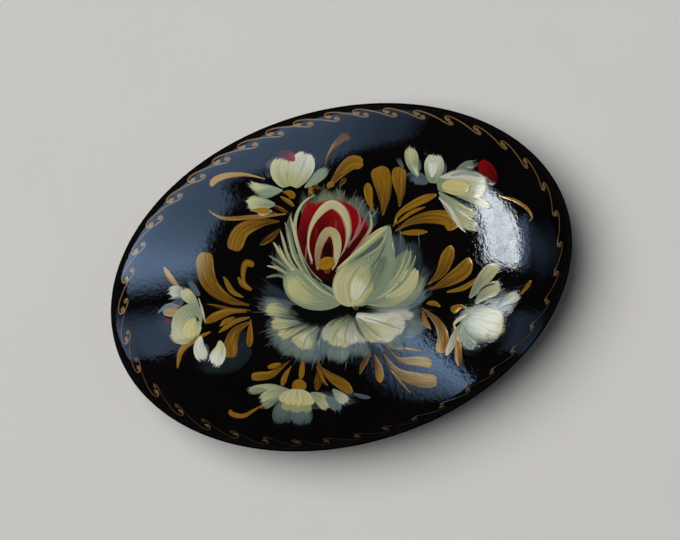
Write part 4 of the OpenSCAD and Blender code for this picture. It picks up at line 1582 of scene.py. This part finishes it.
@dataclass
class Shell:
    """The lacquered shell: an oval dome, hollow behind, with a rebate for the back board.

    Attributes:
        dome: Its outside. Sizes are in mm.
        edge_r: Radius of the back edge.
        crown_t: Thickness at the crown.
        land_w: Width of the flat back edge.
        ledge_w: Width of the ledge that the board sits on.
        board_t: Thickness of the board.
        belt: Width of the band under the dome that keeps the shading crisp.
        spokes: Points round the oval.
        rings: Rings from the rim to each crown.
        edge_rings: Rings round the back edge.
        finish: Its finish.
    """

    dome: Dome
    edge_r: float = 0.8
    crown_t: float = 2.5
    land_w: float = 1.6
    ledge_w: float = 1.4
    board_t: float = 1.6
    belt: float = 0.6
    spokes: int = 288
    rings: int = 64
    edge_rings: int = 8
    finish: BlackLacquer = BlackLacquer()

    def profile(self) -> list[Triple]:
        """Insets and heights of the rings, from the outer crown round the edge to the inner crown.

        Returns:
            Each ring as the share of the half axes, the inset from them in mm, and the height in mm.
        """
        dome = self.dome
        quarter = [math.pi / 2 * k / self.rings for k in range(self.rings)]
        outside = [(math.sin(a), 0.0, dome.rim_z + dome.dome_h * math.cos(a)) for a in quarter[1:]]
        rim = [(1.0, 0.0, z) for z in (dome.rim_z, dome.rim_z - self.belt, dome.back_z + self.edge_r)]
        bend = [math.pi / 2 * (k + 1) / self.edge_rings for k in range(self.edge_rings)]
        edge = [
            (1.0, self.edge_r * (1 - math.cos(a)), dome.back_z + self.edge_r * (1 - math.sin(a)))
            for a in bend
        ]
        board_z = dome.back_z + self.board_t
        rebate = [(1.0, self.land_w, dome.back_z), (1.0, self.land_w, board_z),
                  (1.0, self.land_w + self.ledge_w, board_z)]
        inset = self.land_w + self.ledge_w
        hollow = dome.crown_z - self.crown_t - board_z
        inside = [(math.cos(a), inset * math.cos(a), board_z + hollow * math.sin(a)) for a in quarter[1:]]
        return outside + rim + edge + rebate + inside

    def build(self) -> bpy.types.Object:
        """Turns the profile round the oval and closes it at both crowns."""
        turn = np.linspace(0, 2 * np.pi, self.spokes, endpoint=False)
        rows = self.profile()
        loops = [
            np.stack([(self.dome.half_l * share - inset) * np.cos(turn),
                      (self.dome.half_w * share - inset) * np.sin(turn), np.full(self.spokes, height)], -1)
            for share, inset, height in rows
        ]
        crowns = np.array([[0, 0, self.dome.crown_z], [0, 0, self.dome.crown_z - self.crown_t]])
        verts = np.vstack([*loops, crowns]) * MM
        number = np.arange(len(rows) * self.spokes).reshape(len(rows), self.spokes)
        after = np.roll(number, -1, axis=1)
        faces = np.stack([number[:-1], number[1:], after[1:], after[:-1]], -1).reshape(-1, 4).tolist()
        outer, inner = len(verts) - 2, len(verts) - 1
        faces += [[outer, int(a), int(b)] for a, b in zip(number[0], after[0])]
        faces += [[int(a), inner, int(b)] for a, b in zip(number[-1], after[-1])]
        piece = solid("lacquered_shell", verts, faces, self.finish)
        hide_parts("shell")
        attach(piece, "brooch")
        return report(piece)


@dataclass
class Fitting:
    """A part of the back that keeps its CAD shape, with its sharp edges broken.

    Attributes:
        node: The CAD node it stands for.
        name: The piece's name.
        body: The body it rides on.
        finish: Its finish.
        ease: Width of the broken edges, in mm.
        merge: Points closer than this become one, in mm.
        flat: Faces that turn less than this are joined, in degrees.
        broken: Edges that turn more than this are broken, in degrees.
        crisp: Edges that turn more than this stay crisp, in degrees.
    """

    node: str
    name: str
    body: str
    finish: Finish
    ease: float = 0.05
    merge: float = 0.002
    flat: float = 0.5
    broken: float = 35.0
    crisp: float = 30.0

    def build(self) -> bpy.types.Object:
        """Merges a copy of the node, breaks its edges and dresses it."""
        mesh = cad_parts[self.node].data.copy()
        mesh.name = self.name
        mesh.materials.clear()
        mesh.materials.append(self.finish.material())
        work = bmesh.new()
        work.from_mesh(mesh)
        bmesh.ops.remove_doubles(work, verts=work.verts, dist=self.merge * MM)
        bmesh.ops.dissolve_limit(work, angle_limit=math.radians(self.flat), verts=work.verts,
                                 edges=work.edges)
        work.to_mesh(mesh)
        work.free()
        piece = placed(self.name, mesh)
        bevel = piece.modifiers.new("ease", "BEVEL")
        bevel.width = self.ease * MM
        bevel.segments = 2
        bevel.limit_method = "ANGLE"
        bevel.angle_limit = math.radians(self.broken)
        graph = bpy.context.evaluated_depsgraph_get()
        piece.data = bpy.data.meshes.new_from_object(piece.evaluated_get(graph), depsgraph=graph)
        piece.modifiers.clear()
        piece.data.shade_smooth()
        piece.data.set_sharp_from_angle(angle=math.radians(self.crisp))
        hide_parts(self.node)
        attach(piece, self.body)
        return report(piece)


@dataclass
class PinWork:
    """The pin, its bar and its catch, riveted to the back board."""

    def build(self) -> None:
        """Makes each fitting in its finish."""
        plate = Nickel()
        rivet = Nickel("rivet_plate", "nickel_plate", linear(198, 190, 174), linear(120, 108, 92),
                       (1.0, 1.0, 1.0), 0.3)
        steel = Nickel("pin_steel", "pin_steel", linear(214, 214, 216), linear(150, 150, 152),
                       (0.08, 3.0, 3.0), 0.14)
        brass = Nickel("burr_brass", "burr_brass", linear(196, 160, 88), linear(124, 94, 48),
                       (1.0, 1.0, 1.0), 0.3)
        for fitting in (
            Fitting("back_board", "pressed_back_board", "brooch", BoardLacquer(), 0.12),
            Fitting("pin_bar", "riveted_pin_bar", "brooch", plate, 0.08),
            Fitting("bar_rivets", "round_head_rivets", "brooch", rivet, 0.04),
            Fitting("rivet_burrs", "brass_burrs", "brooch", brass, 0.05),
            Fitting("catch_housing", "catch_barrel", "brooch", plate, 0.05),
            Fitting("hinge_rivet", "hinge_pin_rivet", "brooch", rivet, 0.05),
            Fitting("pin_stem", "sprung_pin", "pin", steel, 0.04),
            Fitting("catch_rotor", "turning_catch", "catch", plate, 0.04),
        ):
            fitting.build()


# ---- The studio ----


def in_gloss(mesh: bpy.types.Mesh) -> bpy.types.Object:
    """A new object in the scene that only gloss shows."""
    made = placed(mesh.name, mesh)
    made.visible_camera = False
    made.visible_diffuse = False
    return made


@dataclass(frozen=True)
class Card:
    """A soft light card that shows only in gloss, placed by where the dome mirrors it.

    Attributes:
        name: The card's name.
        rows: Rows of places in the bouquet's frame where the card's corners show, each with its strength.
        colour: Its glow at full strength.
        low: The last row hangs down to this angle over the floor, in degrees.
        distance: How far away it stands, in metres.
        steps: How many bands the hanging part has.
        broken: How much its glow is broken into fine flecks.
        fleck_scale: How many flecks there are to a metre, about.
    """

    name: str
    rows: tuple[tuple[Triple, ...], ...]
    colour: Colour
    low: Optional[float] = None
    distance: float = 3.0
    steps: int = 5
    broken: float = 0.0
    fleck_scale: float = 9.0

    def hung(self, ways: list[Vector]) -> list[list[Vector]]:
        """Rows of ways from an upper edge down to the card's lowest angle."""
        rows = []
        for k in range(self.steps + 1):
            row = []
            for way in ways:
                high = math.asin(way.z)
                angle = high + (math.radians(self.low) - high) * k / self.steps
                level = Vector((way.x, way.y, 0)).normalized() * math.cos(angle)
                row.append(level + Vector((0, 0, math.sin(angle))))
            rows.append(row)
        return rows

    def build(self, dome: Dome) -> bpy.types.Object:
        """Makes the card.

        Args:
            dome: The dome that mirrors it.

        Returns:
            The card.
        """
        ways = [[dome.mirror((x, y)) for x, y, _ in row] for row in self.rows]
        strengths = [[strength for *_, strength in row] for row in self.rows]
        if self.low is not None:
            hung = self.hung(ways[-1])
            ways = ways[:-1] + hung
            strengths = strengths[:-1] + [strengths[-1]] * len(hung)
        grid = np.arange(len(ways) * len(ways[0])).reshape(len(ways), -1)
        faces = np.stack([grid[:-1, :-1], grid[:-1, 1:], grid[1:, 1:], grid[1:, :-1]], -1).reshape(-1, 4)
        mesh = bpy.data.meshes.new(self.name)
        mesh.from_pydata([tuple(way * self.distance) for row in ways for way in row], [], faces.tolist())
        glow = mesh.attributes.new("glow", "FLOAT", "POINT")
        glow.data.foreach_set("value", np.array(strengths).ravel())
        mesh.materials.append(self.glowing())
        card = in_gloss(mesh)
        return report(card)

    def glowing(self) -> bpy.types.Material:
        """The card's glow."""
        made = bpy.data.materials.new(self.name)
        made.use_nodes = True
        made.node_tree.nodes.clear()
        bench = Bench(made.node_tree)
        glow = bench.attribute("glow", "Fac")
        if self.broken:
            flecks = bench.noise(self.fleck_scale, bench.value("ShaderNodeTexCoord", "Object"), 4.0, 0.7)
            glow = glow * (1 - flecks.ramp(0.48, 0.6) * self.broken)
        colour = bench.mix(glow, (0.0, 0.0, 0.0), self.colour)
        shader = bench.node("ShaderNodeEmission", None, {"Color": colour, "Strength": 1.0})
        bench.node("ShaderNodeOutputMaterial", None, {"Surface": shader.outputs[0]})
        return made


@dataclass
class Studio:
    """A pale floor, soft light, and a camera straight over the brooch.

    Attributes:
        dome: The dome the light is set for.
        view_w: Width of the picture at the rim, in mm.
        aim: Where the camera looks, in the bouquet's frame, in mm.
        lens: The camera's focal length, in mm.
        sensor: Width of the camera's sensor, in mm.
        floor_half: Half the floor's width, in metres.
        key_place: Where the key lamp stands, in metres.
        key_power: Its power, in watts.
        key_size: Its width, in metres.
        back_place: Where the lamp under the floor stands, in metres.
        back_power: Its power, in watts.
        back_size: Its width, in metres.
        sky: Colour of the even light.
        sky_power: Its strength.
        ring_out: How far past the rim the dark ring starts and ends, in mm.
        ring_z: Its height, in mm.
        ring_spokes: Points round it.
    """

    dome: Dome
    view_w: float = 93.66
    aim: Point = (-0.2, 1.0)
    lens: float = 200.0
    sensor: float = 36.0
    floor_half: float = 3.0
    key_place: Triple = (-0.9, 0.9, 2.2)
    key_power: float = 62.0
    key_size: float = 2.2
    back_place: Triple = (-0.3, -0.3, -1.0)
    back_power: float = 6.0
    back_size: float = 0.8
    sky: tuple[float, ...] = (1.0, 0.92, 0.95, 1.0)
    sky_power: float = 0.03
    ring_out: Point = (-1.5, 9.0)
    ring_z: float = -0.2
    ring_spokes: int = 96

    def cards(self) -> list[Card]:
        """A wide sky on the left, a barred window on the right, and three weak patches."""
        sky_edge = ((-29.5, -3.2, 0), (-26, -2.8, 0), (-22, -1.6, 0), (-19.6, -0.6, 0), (-19.2, 3.3, 0),
                    (-17.7, 6.8, 0), (-15.1, 9.7, 0), (-16.4, 12.5, 0), (-12, 14, 0), (-8, 13.7, 0),
                    (-3, 14.5, 0), (0, 16.4, 0), (5, 17.8, 0), (8.5, 18.5, 0), (11, 19.2, 0))
        sky = ((-29.5, -0.4, 1.0), (-26, 0.2, 1.0), (-22.6, 1.2, 1.0), (-20.9, 1.6, 1.0), (-20, 3.8, 0.68),
               (-18.4, 7.2, 0.46), (-15.9, 10.2, 0.42), (-17, 13.3, 0.44), (-12, 14.8, 0.42), (-8, 14.5, 0.4),
               (-3, 15.3, 0.36), (0, 17.3, 0.3), (5, 18.8, 0.17), (8.5, 19.2, 0.13), (11, 19.6, 0.03))
        blue = (2.1, 3.2, 5.0)
        return [
            Card("wide_sky", (sky_edge, sky), blue, -14.0),
            Card("window_high", (
                ((19.2, 13.5, 1.0), (19.4, 9.5, 1.0), (20.4, 6.5, 1.0), (20.8, 2.8, 1.0)),
                ((21.6, 11.6, 1.0), (24.2, 8.8, 1.0), (25.1, 5.2, 1.0), (25.0, 1.6, 1.0)),
            ), (18.0, 20.0, 21.2), broken=0.85),
            Card("window_low", (
                ((17.8, -4.4, 1.0), (18.0, -6.4, 1.0), (19.0, -8.4, 1.0)),
                ((24.6, -2.0, 1.0), (23.6, -5.0, 1.0), (22.4, -8.0, 1.0)),
            ), (12.6, 13.4, 13.8), broken=0.6),
            Card("window_glow", (
                ((25.1, 8.0, 0.7), (25.3, 5, 0.8), (25.2, 1.8, 0.5)),
                ((26.2, 8.8, 0.0), (26.4, 5, 0.15), (26.2, 1.0, 0.0)),
                ((28.6, 8.8, 0.0), (29.0, 4, 0.06), (28.2, -0.6, 0.0)),
                ((30.0, 8.2, 0.0), (30.4, 4, 0.0), (29.6, -0.6, 0.0)),
            ), blue),
            Card("low_patch", (
                ((3, -9, 0.12), (4.5, -13.5, 0.06), (9, -16.8, 0.01)),
                ((8.2, -9.5, 0.45), (11.3, -13, 0.4), (15.5, -16.4, 0.06)),
                ((10.6, -7.4, 1.0), (14.6, -11, 1.0), (18.4, -14.2, 0.6)),
            ), (3.4, 5.2, 8.0)),
            Card("east_patch", (
                ((22.5, -4.5, 0.02), (21.5, -10, 0.0)),
                ((25, -4.5, 0.13), (23.4, -9.5, 0.13)),
                ((28, -4.5, 0.03), (26, -9.5, 0.02)),
            ), blue),
            Card("side_patch", (
                ((-31.0, -4.4, 0.0), (-29.2, -4.6, 0.0), (-26.5, -4.4, 0.0), (-23.0, -4.6, 0.0)),
                ((-30.8, -7.6, 0.4), (-28.8, -7.4, 0.28), (-26.5, -7.0, 0.3), (-23.2, -7.0, 0.55)),
                ((-29.0, -11.6, 0.4), (-27.7, -11.0, 0.22), (-25.8, -11.0, 0.34), (-22.0, -9.8, 0.3)),
            ), blue),
        ]

    def floor(self) -> bpy.types.Object:
        """The pale card under the brooch."""
        h = self.floor_half
        verts = np.array([(-h, -h, 0.0), (h, -h, 0.0), (h, h, 0.0), (-h, h, 0.0)])
        floor = solid("pale_floor", verts, [[0, 1, 2, 3]], FloorCard())
        floor.visible_shadow = False
        floor.visible_glossy = False
        return report(floor)

    def dark_ring(self) -> bpy.types.Object:
        """A black ring under the rim, seen only in gloss, which keeps the lamp below off the rim."""
        turn = np.linspace(0, math.tau, self.ring_spokes, endpoint=False)
        rings = [
            np.stack([(self.dome.half_l + out) * np.cos(turn), (self.dome.half_w + out) * np.sin(turn),
                      np.full(self.ring_spokes, self.ring_z)], -1) * MM
            for out in self.ring_out
        ]
        k = np.arange(self.ring_spokes)
        n = (k + 1) % self.ring_spokes
        faces = np.stack([k, k + self.ring_spokes, n + self.ring_spokes, n], -1).tolist()
        mesh = bpy.data.meshes.new("dark_ring")
        mesh.from_pydata(np.concatenate(rings).tolist(), [], faces)
        mesh.materials.append(Card("dark_ring", (), (0.0, 0.0, 0.0)).glowing())
        ring = in_gloss(mesh)
        return report(ring)

    def camera(self) -> None:
        """The camera, level with the bouquet's frame."""
        place = self.dome.on_oval(np.array(self.aim)) * MM
        height = self.view_w * MM * self.lens / self.sensor + self.dome.rim_z * MM
        data = bpy.data.cameras.new("camera")
        data.lens = self.lens
        data.sensor_width = self.sensor
        camera = placed("camera", data)
        camera.location = (place[0], place[1], height)
        camera.rotation_euler = (0.0, 0.0, -self.dome.lean)
        bpy.context.scene.camera = camera

    def lamp(self, name: str, place: Triple, size: float, power: float) -> bpy.types.Object:
        """A round soft lamp that looks at the brooch.

        Args:
            name: The lamp's name.
            place: Where it stands, in metres.
            size: Its width, in metres.
            power: Its power, in watts.

        Returns:
            The lamp.
        """
        data = bpy.data.lights.new(name, "AREA")
        data.shape = "DISK"
        data.size = size
        data.energy = power
        lamp = placed(name, data)
        lamp.location = place
        lamp.rotation_euler = Vector(place).to_track_quat("Z", "Y").to_euler()
        return lamp

    def world(self) -> None:
        """A faint even light."""
        world = bpy.data.worlds.new("studio")
        world.use_nodes = True
        world.node_tree.nodes.clear()
        bench = Bench(world.node_tree)
        sky = bench.node("ShaderNodeBackground", None, {"Color": self.sky, "Strength": self.sky_power})
        bench.node("ShaderNodeOutputWorld", None, {"Surface": sky.outputs[0]})
        bpy.context.scene.world = world

    def build(self) -> None:
        """Sets the stage."""
        self.floor()
        self.dark_ring()
        for card in self.cards():
            card.build(self.dome)
        key = self.lamp("soft_key", self.key_place, self.key_size, self.key_power)
        key.visible_glossy = False
        self.lamp("back_lamp", self.back_place, self.back_size, self.back_power)
        self.camera()
        self.world()
        bpy.context.scene.view_settings.view_transform = "Standard"


def main() -> None:
    """Builds the brooch from the shell to the last fine lines, then the studio."""
    logging.basicConfig(level=logging.INFO, format="%(name)s: %(message)s")
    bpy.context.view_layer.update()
    dome = Dome.of_shell()
    Shell(dome).build()
    PinWork().build()
    painter = Painter(dome, Ground(dome))
    for spray in (Haze(painter), Foliage(painter), Blossoms(painter), Rose(painter)):
        spray.build()
    Scroll(dome).build()
    Studio(dome).build()


if __name__ == "__main__":
    main()
